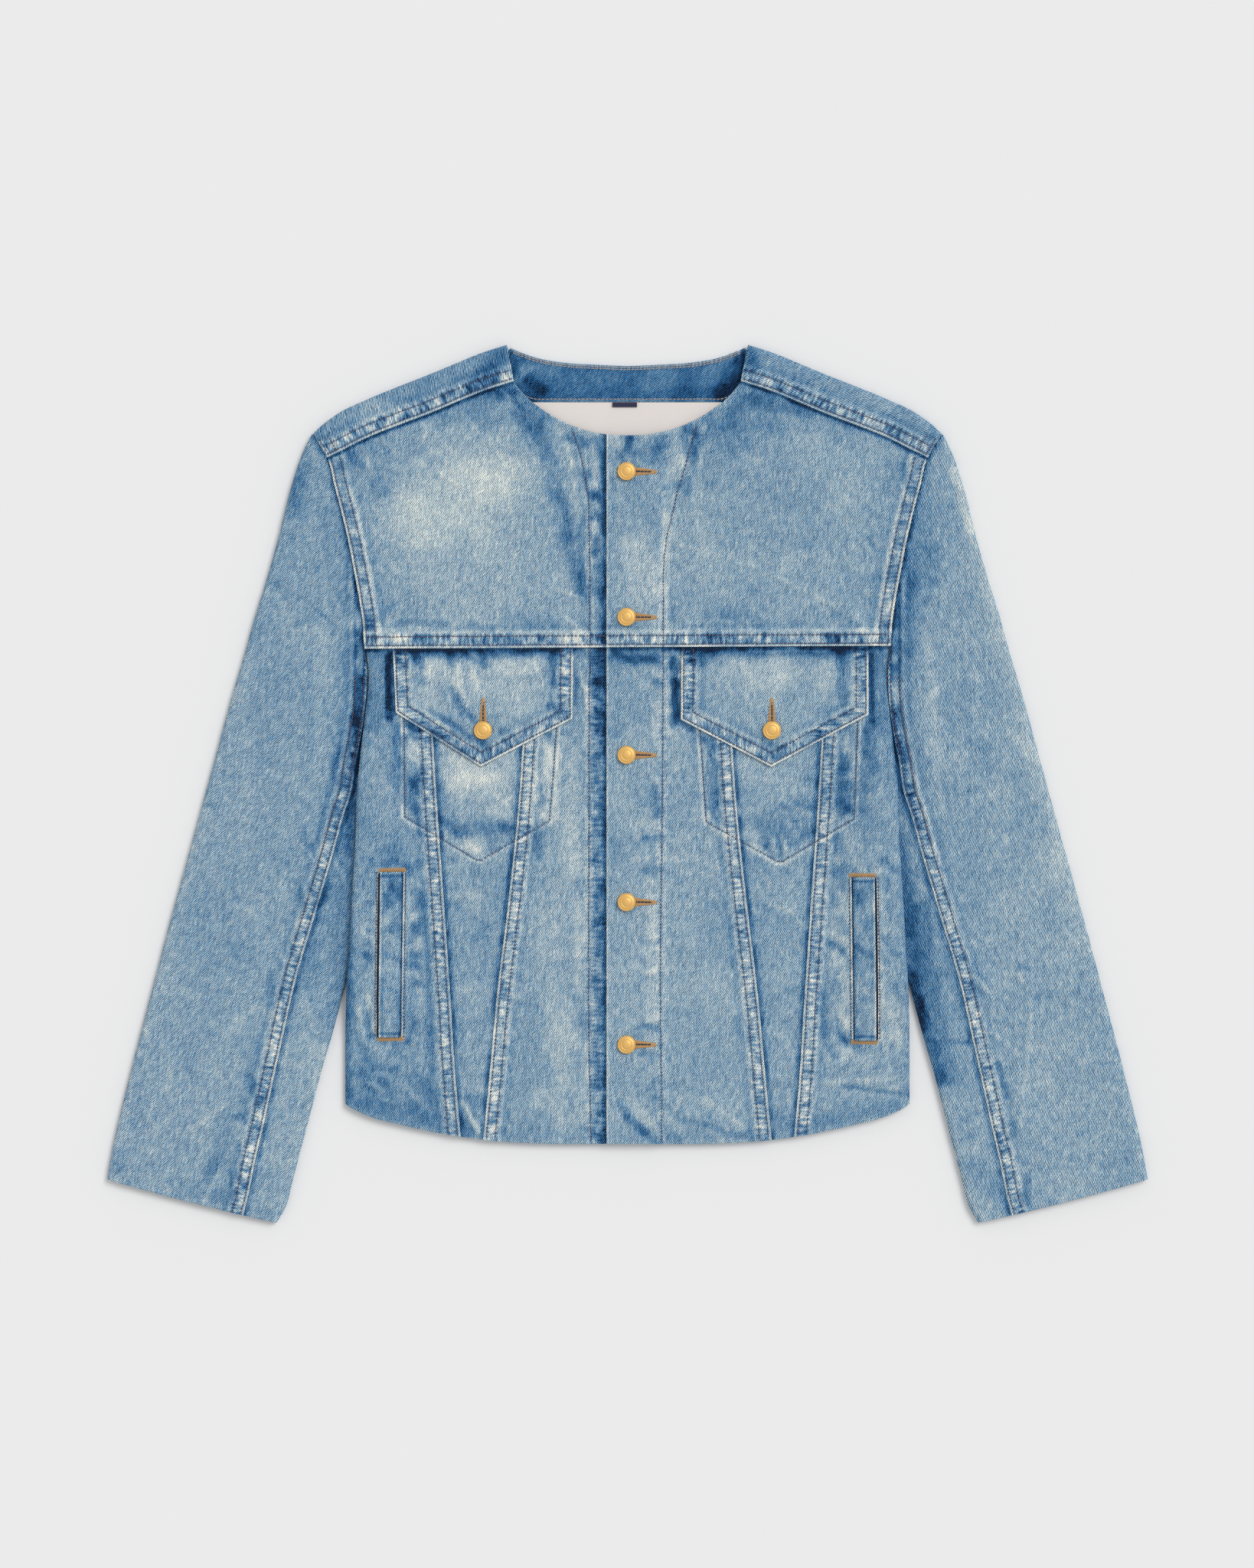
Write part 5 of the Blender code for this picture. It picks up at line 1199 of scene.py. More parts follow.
def denim(name, contrast=1.0):
    """Washed twill: diagonal wales, slubby warp, fine speckle, and the worn dye and painted shade stored on
    the points.
    """
    material = bpy.data.materials.new(name)
    nodes = Nodes(material)
    grain = nodes.add("ShaderNodeUVMap", uv_map="grain").outputs["UV"]
    cos, sin = np.cos(np.radians(TWILL_ANGLE)), np.sin(np.radians(TWILL_ANGLE))
    wales, threads = ([nodes.dot(grain, (u / MM, v / MM, 0)) for u, v in axes]
                      for axes in (((sin, -cos), (cos, sin)), ((1, 0), (0, 1))))
    bend = nodes.noise(threads, 5.0, 5.0)
    phase = nodes.times_add(wales[0], 2 * np.pi / TWILL_PITCH, nodes.times(bend, TWILL_BEND))
    wale = nodes.math("SINE", phase)
    broken = nodes.noise(wales, 0.9, 3.0, 0.0)
    slub = nodes.noise(threads, 0.8, 9.0, 0.0)
    speck = nodes.noise(threads, 0.65, 0.85, 0.0)
    blot = nodes.noise(threads, 4.5, 6.0, 3.0, 0.6)

    # Ropes above 0 lie across an upright seam, and below 0 across a level one.
    ropes = nodes.attribute("ropes")
    upright = nodes.math("MAXIMUM", ropes, 0.0)
    level = nodes.math("MAXIMUM", nodes.times(ropes, -1.0), 0.0)
    bars = nodes.times(nodes.noise(threads, 2.6, 9.0, 1.0, 0.6), level)
    roping = nodes.times_add(nodes.noise(threads, 9.0, 2.6, 1.0, 0.6), upright, bars)
    tone = nodes.times_add(roping, ROPING * contrast, nodes.attribute("tone"))

    weave = nodes.times(wale, nodes.times_add(broken, 1.1, 0.9))
    yarns = nodes.times_add(speck, SPECK_SHARE, nodes.times(weave, WEAVE_SHARE))
    # The gaps between yarns are darker than their tops are light, with the same mean tone.
    yarns = nodes.times_add(nodes.times(yarns, yarns), -1.0, nodes.math("ADD", yarns, YARN_MEAN))
    for part, share in ((yarns, 0.5), (slub, SLUB_SHARE), (blot, BLOT_SHARE)):
        tone = nodes.times_add(part, share * contrast, tone)
    # Half of the yarns' light and dark is grey: it is added to all three channels as they are seen.
    seen = nodes.add("ShaderNodeGamma", {"Color": nodes.ramp(tone, DENIM_COLORS), "Gamma": 1 / DISPLAY_GAMMA})
    grey = nodes.times(yarns, 0.5 * contrast)
    woven = nodes.math("ADD", seen.outputs[0], grey, kind="ShaderNodeVectorMath")
    color = nodes.add("ShaderNodeGamma", {"Color": woven, "Gamma": DISPLAY_GAMMA})

    height = nodes.times_add(broken, 0.5, nodes.times(wale, 0.6))
    height = nodes.times_add(speck, 0.35, nodes.times_add(roping, 2.0, height))
    nodes.bump(height, 0.35, WEAVE_DEPTH)
    nodes.set({"Base Color": color.outputs[0], "Roughness": nodes.times_add(speck, 0.04, 0.88),
               "Specular IOR Level": 0.08, "Sheen Weight": 0.03, "Sheen Roughness": 0.5})
    return material


def plain(name, color, roughness, metallic=0.0, mottle=0.05, size=1.5, bump=0.0):
    """A surface with faint uneven colour at the given size in millimetres."""
    material = bpy.data.materials.new(name)
    nodes = Nodes(material)
    spot = nodes.add("ShaderNodeTexCoord").outputs["Object"]
    uneven = nodes.add("ShaderNodeTexNoise", {"Vector": spot, "Scale": 1 / (size * MM), "Detail": 3.0})
    uneven = uneven.outputs["Fac"]
    shade = nodes.add("ShaderNodeVectorMath", {"Scale": nodes.times_add(uneven, 2 * mottle, 1 - mottle)},
                      operation="SCALE")
    nodes.feed(shade.inputs[0], linear(color))
    nodes.set({"Base Color": shade.outputs["Vector"], "Metallic": metallic,
               "Roughness": nodes.times_add(uneven, 0.1, roughness - 0.05)})
    if bump:
        nodes.bump(uneven, bump, PLAIN_DEPTH)
    return material


# ---------------------------------------------------------------- cloth pieces

SEAM_STEPS = (0.15, 0.4, 0.8, 1.4, 2.1, 2.8, 3.7, 4.8, 6.0, 7.2, 8.3, 9.1, 9.9, 11.0, 12.4)
EDGE_STEPS = (0.15, 0.4, 0.8, 1.4, 2.2, 3.4)
ROW_STEP = 1.9
BACK_STEP = 5.0
# Distances of the extra grid lines beside a hand pocket's edges from the welt's inner edge.
WELT_STEPS = (-3.3, -2.6, -1.9, -1.3, -0.8, -0.3, 0.3, 16.5, 16.9, 17.3, 17.8, 18.4, 19.0, 19.7, 20.5)
# Distance at which an edge no longer rounds a cloth down.
NO_EDGE = 9
BACK_EDGE_STEPS = (1.5, 3)
BACK_UPPER_ROWS = (107, 118, 130, 143, 155, 168, 180, 193, BACK_YOKE_Y)
SHOULDER_LEAN = -28.0
# Distances of the grid lines round a fold from its edge.
FOLD_TURN = tuple(FOLD_REACH * (1 - np.cos(np.radians(angle))) for angle in (0, 12, 24, 36, 48, 60, 72, 90))


def nominal_rows():
    """Row heights at the centre line from the hem to the chest seam, and their shares of the way."""
    plain_y = columns(HEM_Y, CHEST_Y - HALF_GAP, EDGE_STEPS, EDGE_STEPS, ROW_STEP)
    return plain_y, ((plain_y - plain_y[0]) / (plain_y[-1] - plain_y[0]))[:, None]


def lower_y(side, x, share):
    """Row heights between the hem and the chest seam."""
    hem = smooth(HEM, np.abs(x))
    return hem + (chest_y(side, x) - HALF_GAP - hem) * share


def worn_over(side, x, y, level):
    """Height of the front with its wear's relief, at a level over the plain front."""
    return body_over(side, x, y) + level + body_wear_and_shade(side, x, y)[1]


def center_top(side, x, y):
    """Height of the centre panels."""
    return worn_over(side, x, y, placket_rise(side, x) + band(-from_line(CENTER_SEAM, y, x)))


def mid_top(side, x, y):
    """Height of the tapered panels."""
    return worn_over(side, x, y, -MID_DROP)


def side_top(side, x, y):
    """Height of the side panels."""
    return worn_over(side, x, y, band(from_line(SIDE_SEAM, y, x)))


def yoke_top(side, x, y):
    """Height of the chest panels."""
    chest = y - chest_y(side, x)
    arm = band(-from_line(ARMHOLE, y, x)) * ramp(chest, 0, CHEST_BAND_WIDE)
    return worn_over(side, x, y, placket_rise(side, x) + band(chest, CHEST_BAND_RISE, CHEST_BAND_WIDE) + arm)


def front_panel(name, side, x, y, top, free_edges, material):
    """A flat front panel; free_edges are the distances from the edges that round down."""
    drop = sum(edge_drop(distance) for distance in free_edges)
    outer, inner = (stack(side * x, y, top(side, x, y) - below) for below in (drop, DENIM))
    sew_in(name, outer, inner, body_wear_and_shade(side, x, y)[0], turn(side * x, y), material,
           stack(side * x, y, body_over(side, x, y)), ropes=body_ropes(side, x, y))


def front_center(name, side, material):
    """The centre panel, from the placket's edge to the centre seam."""
    plain_y, share = nominal_rows()
    edge = np.full(len(plain_y), FRONT_EDGE[side])
    seam = smooth(CENTER_SEAM, plain_y) - HALF_GAP
    x = columns(edge, seam, EDGE_STEPS, SEAM_STEPS)
    y = lower_y(side, x, share)
    free_edges = (x - edge[:, None], seam[:, None] - x, y - y[:1])
    front_panel(name, side, x, y, center_top, free_edges, material)


def front_mid(name, side, material):
    """The tapered panel between the centre seam and the side seam's line."""
    plain_y, share = nominal_rows()
    x = columns(smooth(CENTER_SEAM, plain_y) + HALF_GAP, smooth(SIDE_SEAM, plain_y) - HALF_GAP,
                EDGE_STEPS, EDGE_STEPS)
    y = lower_y(side, x, share)
    front_panel(name, side, x, y, mid_top, (y - y[:1],), material)


def side_wrap(y):
    """How far the front goes under the body, from the side fold to the side seam."""
    return FOLD_REACH + 1.5 + 13 * (1 - ramp(y, 40, 104))


def front_side(name, side, material):
    """The side panel: over the front, round the side fold and under to the side seam."""
    plain_y, share = nominal_rows()
    seam = smooth(SIDE_SEAM, plain_y) + HALF_GAP
    fold = smooth(BODY_SIDE, plain_y)
    pocket_x = welt_line(side, plain_y)[:, None] + np.array(WELT_STEPS)
    plain_x = columns(seam, fold, SEAM_STEPS, FOLD_TURN[1:])
    top_x = np.sort(np.concatenate((plain_x, pocket_x), axis=1), axis=1)
    under = columns(fold - side_wrap(plain_y), fold, (), FOLD_TURN[1:], 4)[:, -2::-1]
    x = np.concatenate((top_x, under), axis=1)
    is_over = np.arange(x.shape[1]) < top_x.shape[1]
    y = lower_y(side, x, share)
    depth = fold[:, None] - x
    low, high = lift(x, y), body_over(side, x, y)
    tone, relief = body_wear_and_shade(side, x, y)
    from_seam = x - seam[:, None]
    level = (band(from_seam) + relief) * is_over

    def points(inset, rounding):
        """The wall's face, as in fold_height."""
        plan, rise = turned(depth, inset)
        z = fold_height(low, high, level, inset, rounding, is_over, rise)
        return stack(side * (fold[:, None] - plan), y, z)

    outer = points(0, edge_drop(from_seam) * is_over + edge_drop(y - y[:1]))
    # Darker towards the side fold: painted shade where the cloth turns under.
    sew_in(name, outer, points(DENIM, 0), tone - 0.07 * np.exp(-depth / 5), turn(side * x, y), material,
           points(0, relief * is_over), "folded", ropes=body_ropes(side, x, y) * is_over)


def front_yoke(name, side, material):
    """The chest panel, from the chest seam up to the neckline and the shoulder seam."""
    edge = FRONT_EDGE[side]
    x_top = columns(edge, SHOULDER_END, EDGE_STEPS, SEAM_STEPS, 1.7)
    neck = x_top <= NECK_CORNER
    y_top = np.where(neck, smooth(FRONT_NECK, np.abs(x_top)), smooth(SHOULDER_SEAM, x_top) - SEAM_GAP)
    base = chest_y(side, x_top) + HALF_GAP
    y = columns(base, y_top, SEAM_STEPS, EDGE_STEPS, 1.7).T
    arm = smooth(ARMHOLE, np.minimum(y, SHOULDER_SEAM[-1][1]))
    x = edge + (arm - edge) * (x_top - edge) / (SHOULDER_END - edge)
    free_edges = (x - edge, arm - x, y - base, np.where(neck, y_top - y, NO_EDGE))
    front_panel(name, side, x, y, yoke_top, free_edges, material)


def back_yoke(name, material):
    """The back yoke: flat under the body, round both shoulder folds and down to the front seams."""
    seam_x = columns(NECK_CORNER, SHOULDER_END)
    share = (seam_x - NECK_CORNER) / (SHOULDER_END - NECK_CORNER)
    fold_x = NECK_HALF + (SHOULDER_FOLD[-1][0] - NECK_HALF) * share
    middle = np.linspace(-NECK_HALF, NECK_HALF, 61)
    signed = np.concatenate((-fold_x[:0:-1], middle, fold_x[1:]))
    seam_end = np.interp(np.abs(signed), fold_x, seam_x)
    side = np.where(signed < 0, RIGHT, LEFT)
    fold_x = np.abs(signed)
    on_shoulder = fold_x >= NECK_HALF - 0.001
    fold_y = np.where(on_shoulder, smooth(SHOULDER_FOLD, fold_x), smooth(BACK_NECK, fold_x))
    flat_top = fold_y - FOLD_REACH * on_shoulder
    under_y = columns(BACK_YOKE_Y + HALF_GAP, flat_top, step=8).T
    rounding = np.array(FOLD_TURN)
    round_y = fold_y - np.concatenate((rounding[-2::-1], rounding[1:]))[:, None]
    seam_y = np.where(on_shoulder, smooth(SHOULDER_SEAM, seam_end), fold_y - 20)
    over_y = columns(seam_y, fold_y - FOLD_REACH, SEAM_STEPS).T[-2::-1]
    y = np.concatenate((under_y, round_y, over_y))
    is_over = np.arange(len(y))[:, None] >= len(under_y) + len(rounding) - 1
    run = (fold_y - y) / (fold_y - seam_y)
    arm = smooth(BACK_ARMHOLE, np.minimum(y, BACK_ARMHOLE[-1][0])) / BACK_ARMHOLE[-1][1]
    x = np.where(is_over, fold_x + (seam_end - fold_x) * run, fold_x * arm)
    high = body_over(side, x, y)
    tone, relief = shoulder_wear(side, x, y)
    level = (band(y - seam_y) + relief) * is_over
    ends = np.minimum(np.abs(x + x[:, :1]), np.abs(x - x[:, -1:]))
    neck_side = np.where(on_shoulder, fold_x - NECK_HALF, NO_EDGE)
    drop = (edge_drop(y - seam_y) + edge_drop(ends) + edge_drop(neck_side)) * is_over

    def points(inset, rounding_down):
        """The wall's face, as in fold_height."""
        plan, rise = turned(fold_y - y, inset)
        rise = np.where(on_shoulder, rise, 1)
        plan = np.where(on_shoulder, plan, fold_y - y)
        z = fold_height(0, high, level, inset, rounding_down, is_over, rise)
        return stack(side * x, fold_y - plan, z)

    kept = np.ones((len(y) - 1, len(signed) - 1), bool)
    kept[len(under_y) - 1:, ~(on_shoulder[:-1] & on_shoulder[1:])] = False
    tone = np.where(is_over | (y > fold_y - 12), tone, back_wear_and_shade(side, x, y))
    sew_in(name, points(0, drop), points(DENIM, 0), tone, turn(side * x, y, side * SHOULDER_LEAN), material,
           points(0, 0), "folded", kept=kept, ropes=-in_band(y - seam_y) * is_over)


def back_rows():
    """Row heights of the back's panels from the hem to the yoke."""
    return np.concatenate((columns(HEM_Y, CHEST_Y, step=BACK_STEP), BACK_UPPER_ROWS))


def back_panel(name, side, x, plain_y, material):
    """A panel of the back, its rows fitted to the hem's curve below the chest seam as on the front."""
    plain_y = plain_y[:, None]
    hem = smooth(HEM, np.abs(x))
    fitted = np.where(plain_y < CHEST_Y, hem + (CHEST_Y - hem) * height_share(plain_y), plain_y)
    y = np.minimum(fitted, BACK_YOKE_Y - HALF_GAP)
    base = lift(np.abs(x), y)
    below, above = stack(side * x, y, base), stack(side * x, y, base + DENIM)
    tone = back_wear_and_shade(np.where(side * x < 0, RIGHT, LEFT), np.abs(x), y)
    sew_in(name, below, above, tone, turn(side * x, y), material, below, skip=2)


def height_share(y):
    """Share of the way from the hem at the centre to the chest seam."""
    return (y - HEM_Y) / (CHEST_Y - HEM_Y)


def back_center(name, material):
    """The back's middle panel."""
    plain_y = back_rows()
    seam = smooth(BACK_SEAM, plain_y) - HALF_GAP
    x = columns(-seam, seam, BACK_EDGE_STEPS, BACK_EDGE_STEPS, BACK_STEP)
    back_panel(name, LEFT, x, plain_y, material)


def back_side(name, side, material):
    """A side panel of the back, out to the side seam and above it to the armhole."""
    plain_y = back_rows()
    seam = smooth(BACK_SEAM, plain_y) + HALF_GAP
    nominal = HEM_Y + (CHEST_Y - HEM_Y) * np.clip(height_share(plain_y), 0, 1)
    side_seam = smooth(BODY_SIDE, nominal) - side_wrap(nominal) - SEAM_GAP
    edge = side_seam + (smooth(BACK_ARMHOLE, plain_y) - side_seam) * ramp(plain_y, 108, 128)
    back_panel(name, side, columns(seam, edge, BACK_EDGE_STEPS, (), BACK_STEP), plain_y, material)


# ---------------------------------------------------------------- sleeves

SLEEVE_LENGTH = 590.0
SLEEVE_LEAN = 14.0
SLEEVE_STEP = 2.0
# Grid lines of each piece below, and where the under sleeve's turn may start on top, as a share.
UPPER_LINES, UNDER_LINES, TURN_START = 15, 9, 0.3
HALVINGS = 30


def run_length(points):
    """Running length along a chain of plan points."""
    return np.concatenate(([0], np.cumsum(np.hypot(*np.diff(points, axis=0).T))))


def read_chain(points, length, at):
    """Plan points at running lengths of a chain."""
    return np.stack([np.interp(at, length, column) for column in points.T], axis=-1)


def dense_curve(rows):
    """Points of a (y, x) table's curve from its top down, with its running length as a share."""
    y = np.linspace(rows[-1][0], rows[0][0], 400)
    points = np.stack((smooth(rows, y), y), axis=1)
    length = run_length(points)
    return points, length / length[-1]


def sleeve_plan(armhole_rows):
    """A sleeve laid flat: plan point for share s from armhole to cuff and t from outer to inner fold."""
    outer, inner, arm = (dense_curve(rows) for rows in (SLEEVE_OUTER, SLEEVE_INNER, armhole_rows))
    arm[0][:, 0] += ARMHOLE_GAP
    start, end = ([read_chain(*curve, share) for curve in (outer, inner)] for share in (0.0, 1.0))

    def plan(s, t):
        """Plan points at shares down and across the sleeve, blended from its four sides."""
        across, down = np.asarray(t)[..., None], np.asarray(s)[..., None]
        cuff = end[0] + (end[1] - end[0]) * across - np.array((0, CUFF_BOW)) * 4 * across * (1 - across)
        blend = (1 - down) * read_chain(*arm, t) + down * cuff
        blend = blend + (1 - across) * read_chain(*outer, s) + across * read_chain(*inner, s)
        flat = (1 - down) * ((1 - across) * start[0] + across * start[1])
        return blend - flat - down * ((1 - across) * end[0] + across * end[1])

    return plan


def sleeve_over(side, x, y):
    """Height of the sleeve's upper face, lower where the body's side lies on it."""
    beside = 1 - ramp(x - smooth(BODY_SIDE, y), *SINK_ACROSS)
    return SLEEVE_THICK - TUCK_SINK * beside * window(y, *SINK_ALONG) + folds(side * x, y)


def sleeve_top(side, x, y):
    """Height of the sleeve with its seam's band and its wear's relief."""
    over = from_line(SLEEVE_SEAM, y, x)
    return sleeve_over(side, x, y) + band(over) * (over >= 0) + sleeve_wear_and_shade(side, x, y)[1]


def sleeve_seam_share(plan, s):
    """Share across the sleeve at which the front seam lies, found by halving."""
    low, high = np.zeros_like(s), np.ones_like(s)
    for _ in range(HALVINGS):
        middle = (low + high) / 2
        x, y = plan(s, middle).T
        outside = x > smooth(SLEEVE_SEAM, y)
        low, high = np.where(outside, middle, low), np.where(outside, high, middle)
    return low


def along_width(plan, s):
    """Width of a sleeve's sections and the unit direction from their outer to their inner fold."""
    across = plan(s, np.ones_like(s)) - plan(s, np.zeros_like(s))
    width = np.hypot(*across.T)[:, None]
    return width, across / width


def sleeve_wall(name, side, over_shares, under_shares, s, seam, covered, material):
    """A sleeve piece whose columns run over the top, round one fold and back below."""
    over_plan, under_plan = sleeve_plan(ARMHOLE), sleeve_plan(BACK_ARMHOLE)
    t = np.concatenate((over_shares, under_shares), axis=1)
    is_over = np.arange(t.shape[1]) < over_shares.shape[1]
    width, direction = along_width(over_plan, s)
    s = np.broadcast_to(s[:, None], t.shape)
    x, y = np.moveaxis(np.where(is_over[:, None], over_plan(s, t), under_plan(s, t)), -1, 0)
    near_inner = t > 0.5
    depth = np.where(near_inner, 1 - t, t) * width
    high = sleeve_over(side, x, y)
    tone, relief = sleeve_wear_and_shade(side, x, y)
    off_seam = (seam - t) * width
    on_band = covered * is_over
    level = relief * is_over + band(off_seam) * on_band
    drop = edge_drop(off_seam) * on_band + edge_drop((1 - s) * SLEEVE_LENGTH)

    def points(inset, rounding):
        """The wall's face, as in fold_height."""
        plan, rise = turned(depth, inset)
        shift = (depth - plan) * np.where(near_inner, 1, -1)
        z = fold_height(0, high, level, inset, rounding, is_over, rise)
        return stack(side * (x + shift * direction[:, :1]), y + shift * direction[:, 1:], z)

    plain_tone = cloth_tone(side * x, y, SLEEVE_TONE)
    tone = np.where(is_over | (depth <= 8), tone + 0.03 * hump(depth - 3, 5), plain_tone)
    sew_in(name, points(0, drop), points(DENIM, 0), tone, turn(side * x, y, side * SLEEVE_LEAN), material,
           points(0, relief * is_over), "folded", ropes=in_band(off_seam) * on_band)


def between(low, high, shares):
    """Columns at shares of the way between two others."""
    return low + (high - low) * shares[None, :]


def sleeve(side, end, material):
    """Upper and under sleeve of one side, sewn at the front seam on top and the back seam below."""
    cuff_steps = tuple(distance / SLEEVE_LENGTH for distance in EDGE_STEPS)
    s = columns(0, 1, (), cuff_steps, SLEEVE_STEP / SLEEVE_LENGTH)
    plan = sleeve_plan(ARMHOLE)
    width, _ = along_width(plan, s)
    seam = np.minimum(sleeve_seam_share(plan, s)[:, None], 1 - LEAST_UNDER_SLEEVE / width)
    back_seam = (BACK_SLEEVE_SEAM_TOP + (BACK_SLEEVE_SEAM_CUFF - BACK_SLEEVE_SEAM_TOP) * s)[:, None]
    turning = np.array(FOLD_TURN) / width
    first = turning[:, -1:]
    half_gap = HALF_GAP / width

    edge = seam - half_gap
    near_seam = edge - np.array((0,) + SEAM_STEPS) / width
    last = near_seam[:, -1:]
    count = int(np.max((last - first) * width) / SLEEVE_STEP)
    over = np.concatenate((near_seam, between(last, first, np.linspace(0, 1, count + 1)[1:-1]),
                           turning[:, ::-1]), axis=1)
    under = between(first, back_seam - half_gap, np.linspace(0, 1, UPPER_LINES)[1:])
    under = np.concatenate((turning[:, 1:], under), axis=1)
    sleeve_wall("sleeve_upper" + end, side, over, under, s, edge, True, material)

    edge = seam + half_gap
    least_turn = between(edge, 1, np.linspace(TURN_START, 1, turning.shape[1]))
    inner_turn = np.maximum(1 - turning[:, ::-1], least_turn)
    last = inner_turn[:, :1]
    count = max(4, int(np.max((last - edge) * width) / SLEEVE_STEP))
    over = np.concatenate((between(edge, last, np.linspace(0, 1, count + 1)[:-1]), inner_turn), axis=1)
    under = between(1 - first, back_seam + half_gap, np.linspace(0, 1, UNDER_LINES)[1:])
    under = np.concatenate((1 - turning[:, 1:], under), axis=1)
    sleeve_wall("sleeve_under" + end, side, over, under, s, edge, False, material)


# ---------------------------------------------------------------- flaps, welts, facing and lining

def flap_over(side, x, y):
    """Height of a flap's plain upper face."""
    return body_over(side, x, y) + BAND_RISE + LAYER_GAP + DENIM


def flap_top(side, x, y):
    """Height of a flap with its wear's relief."""
    return flap_over(side, x, y) + flap_wear_and_shade(side, x, y)[1]


def pocket_flap(name, side, material):
    """A pointed flap, from its free edge up to the chest seam."""
    (low_in, _), (point_x, _), (low_out, _) = FLAP_CORNERS[side]
    top_in, top_out = FLAP_TOPS[side]
    point = (point_x - low_in) / (low_out - low_in)
    near, step = np.array(SEAM_STEPS) / FLAP_WIDE, 1.3 / FLAP_WIDE
    u = np.concatenate((columns(0, point, near, (), step), columns(point, 1, (), near, step)[1:]))
    x_low = low_in + (low_out - low_in) * u
    x_top = top_in + (top_out - top_in) * u
    low = flap_low(side, x_low)
    high = chest_y(side, x_top) - HALF_GAP
    y = columns(low, high, SEAM_STEPS, EDGE_STEPS, 1.4).T
    x = x_low + (x_top - x_low) * (y - low) / (high - low)
    off, _ = from_corners(flap_outline(side), x, y)
    outer = stack(side * x, y, flap_top(side, x, y) - edge_drop(off))
    inner = stack(side * x, y, flap_over(side, x, y) - DENIM)
    sew_in(name, outer, inner, flap_wear_and_shade(side, x, y)[0], turn(side * x, y), material, inner,
           ropes=flap_ropes(side, x, y))


def pocket_welt(name, side, material):
    """A hand pocket's welt, laid on the side panel."""
    y = columns(*WELT_ENDS[side], EDGE_STEPS, EDGE_STEPS, 1.5)[:, None]
    across = columns(0, WELT_WIDE, EDGE_STEPS, EDGE_STEPS, 1.3)[None, :]
    x = welt_line(side, y) + across
    y = np.broadcast_to(y, x.shape)
    tone, relief = welt_wear_and_shade(side, x, y)
    base = body_over(side, x, y) + WELT_GAP
    rise = 0.25 * ramp(np.minimum(across, WELT_WIDE - across), 0, 4) + 0.6 * relief
    drop = edge_drop(across, 0.5) + edge_drop(WELT_WIDE - across, 0.7)
    outer, inner = stack(side * x, y, base + DENIM + rise - drop), stack(side * x, y, base)
    sew_in(name, outer, inner, tone, turn(side * x, y), material, inner)


def facing_top(x, y):
    """Height of the neck facing, faintly rippled."""
    ripple = 0.12 * noise(x / 9, y / 14, 111) + 0.1 * noise(x / 4, y / 30, 112)
    return FACING_BASE + DENIM + ripple


def facing_low(x):
    """Lower edge of the neck facing."""
    return FACING_Y + 6 * ramp(np.abs(x), 70, FACING_HALF)


def neck_facing(name, material):
    """The darker facing inside the back of the neck."""
    x = columns(-FACING_HALF, FACING_HALF)
    top, low = smooth(BACK_NECK, np.abs(x)) - LAYER_GAP, facing_low(x)
    y = columns(low, top, EDGE_STEPS, EDGE_STEPS, 1.7).T
    tone = cloth_tone(x, y, FACING_TONE) + 0.035 * clouds(x, y, 13, 113) + 0.03 * noise(x / 2.5, y / 20, 115)
    tone = tone - 0.08 * (1 - ramp(y - low, 3, 15)) + 0.16 * hump(top - y - 0.8, 1.0)
    tone = tone + 0.22 * hump(y - low, 1.4) + strokes(FACING_STROKES, x, y)[0]
    outer = stack(x, y, facing_top(x, y) - edge_drop(y - low) - edge_drop(top - y))
    inner = stack(x, y, FACING_BASE)
    piece = shell(name, outer, inner, tone, turn(x, y, -20), material)
    cut(inner)
    place(piece, name, "facing_denim")


def yoke_lining(name, tab, material):
    """The pale lining below the facing; the tab passed in is not used."""
    x = columns(-LINING_HALF, LINING_HALF, step=2.5)
    y = columns(np.full(len(x), LINING_END_Y), FACING_Y - LAYER_GAP, step=2.5).T
    top = FACING_BASE + LINING + 0.15 * noise(x / 30, y / 14, 117) + 0.08 * noise(x / 11, y / 6, 118)
    piece = shell(name, stack(x, y, top), stack(x, y, top - 0.7), 0.85, turn(x, y), material)
    cut(stack(x, y, DENIM))
    place(piece, name, "lining")


def neck_tab(name, material):
    """The plain navy tab at the facing's lower edge."""
    near = (0.2, 0.5)
    x = columns(TAB_LEFT, TAB_RIGHT, near, near, 1.0)
    y = columns(np.full(len(x), TAB_LOW), TAB_TOP, near, near, 0.8).T
    top = TAB_BASE + 0.9 - edge_drop(y - TAB_LOW, 0.3) - edge_drop(TAB_TOP - y, 0.3)
    piece = shell(name, stack(x, y, top), stack(x, y, TAB_BASE), 0.2, turn(x, y), material)
    return place(piece, name, "navy_tab")


# ---------------------------------------------------------------- thread

# Columns: place along a stitch as a share of its length, radius as a share, and height in millimetres.
STITCH_RINGS = ((-0.5, 0.35, -0.32), (-0.36, 0.85, 0.0), (0.0, 1.0, 0.08), (0.36, 0.85, 0.0),
                (0.5, 0.35, -0.32))
STITCH_SIDES = 6
HOLE_RADIUS, SLOT_RADIUS, TACK_RADIUS = 0.36, 0.5, 0.38
# How far a stitch's middle lies above the cloth, and how far a row of stitches strays.
STITCH_ABOVE, SATIN_ABOVE, STITCH_STRAY = 0.10, 0.22, 0.16
SATIN_LEAN = 0.7
HEM_CLEAR = 1.5
SLIT_LONG = 6.5
# Columns: name, distance from the welt's inner edge, and radius of a hand pocket's dark ribbons of painted
# shadow in its slits.
SLIT_SHADOWS = (("outer", WELT_WIDE + 0.7, 0.95), ("inner", -0.15, 0.45))


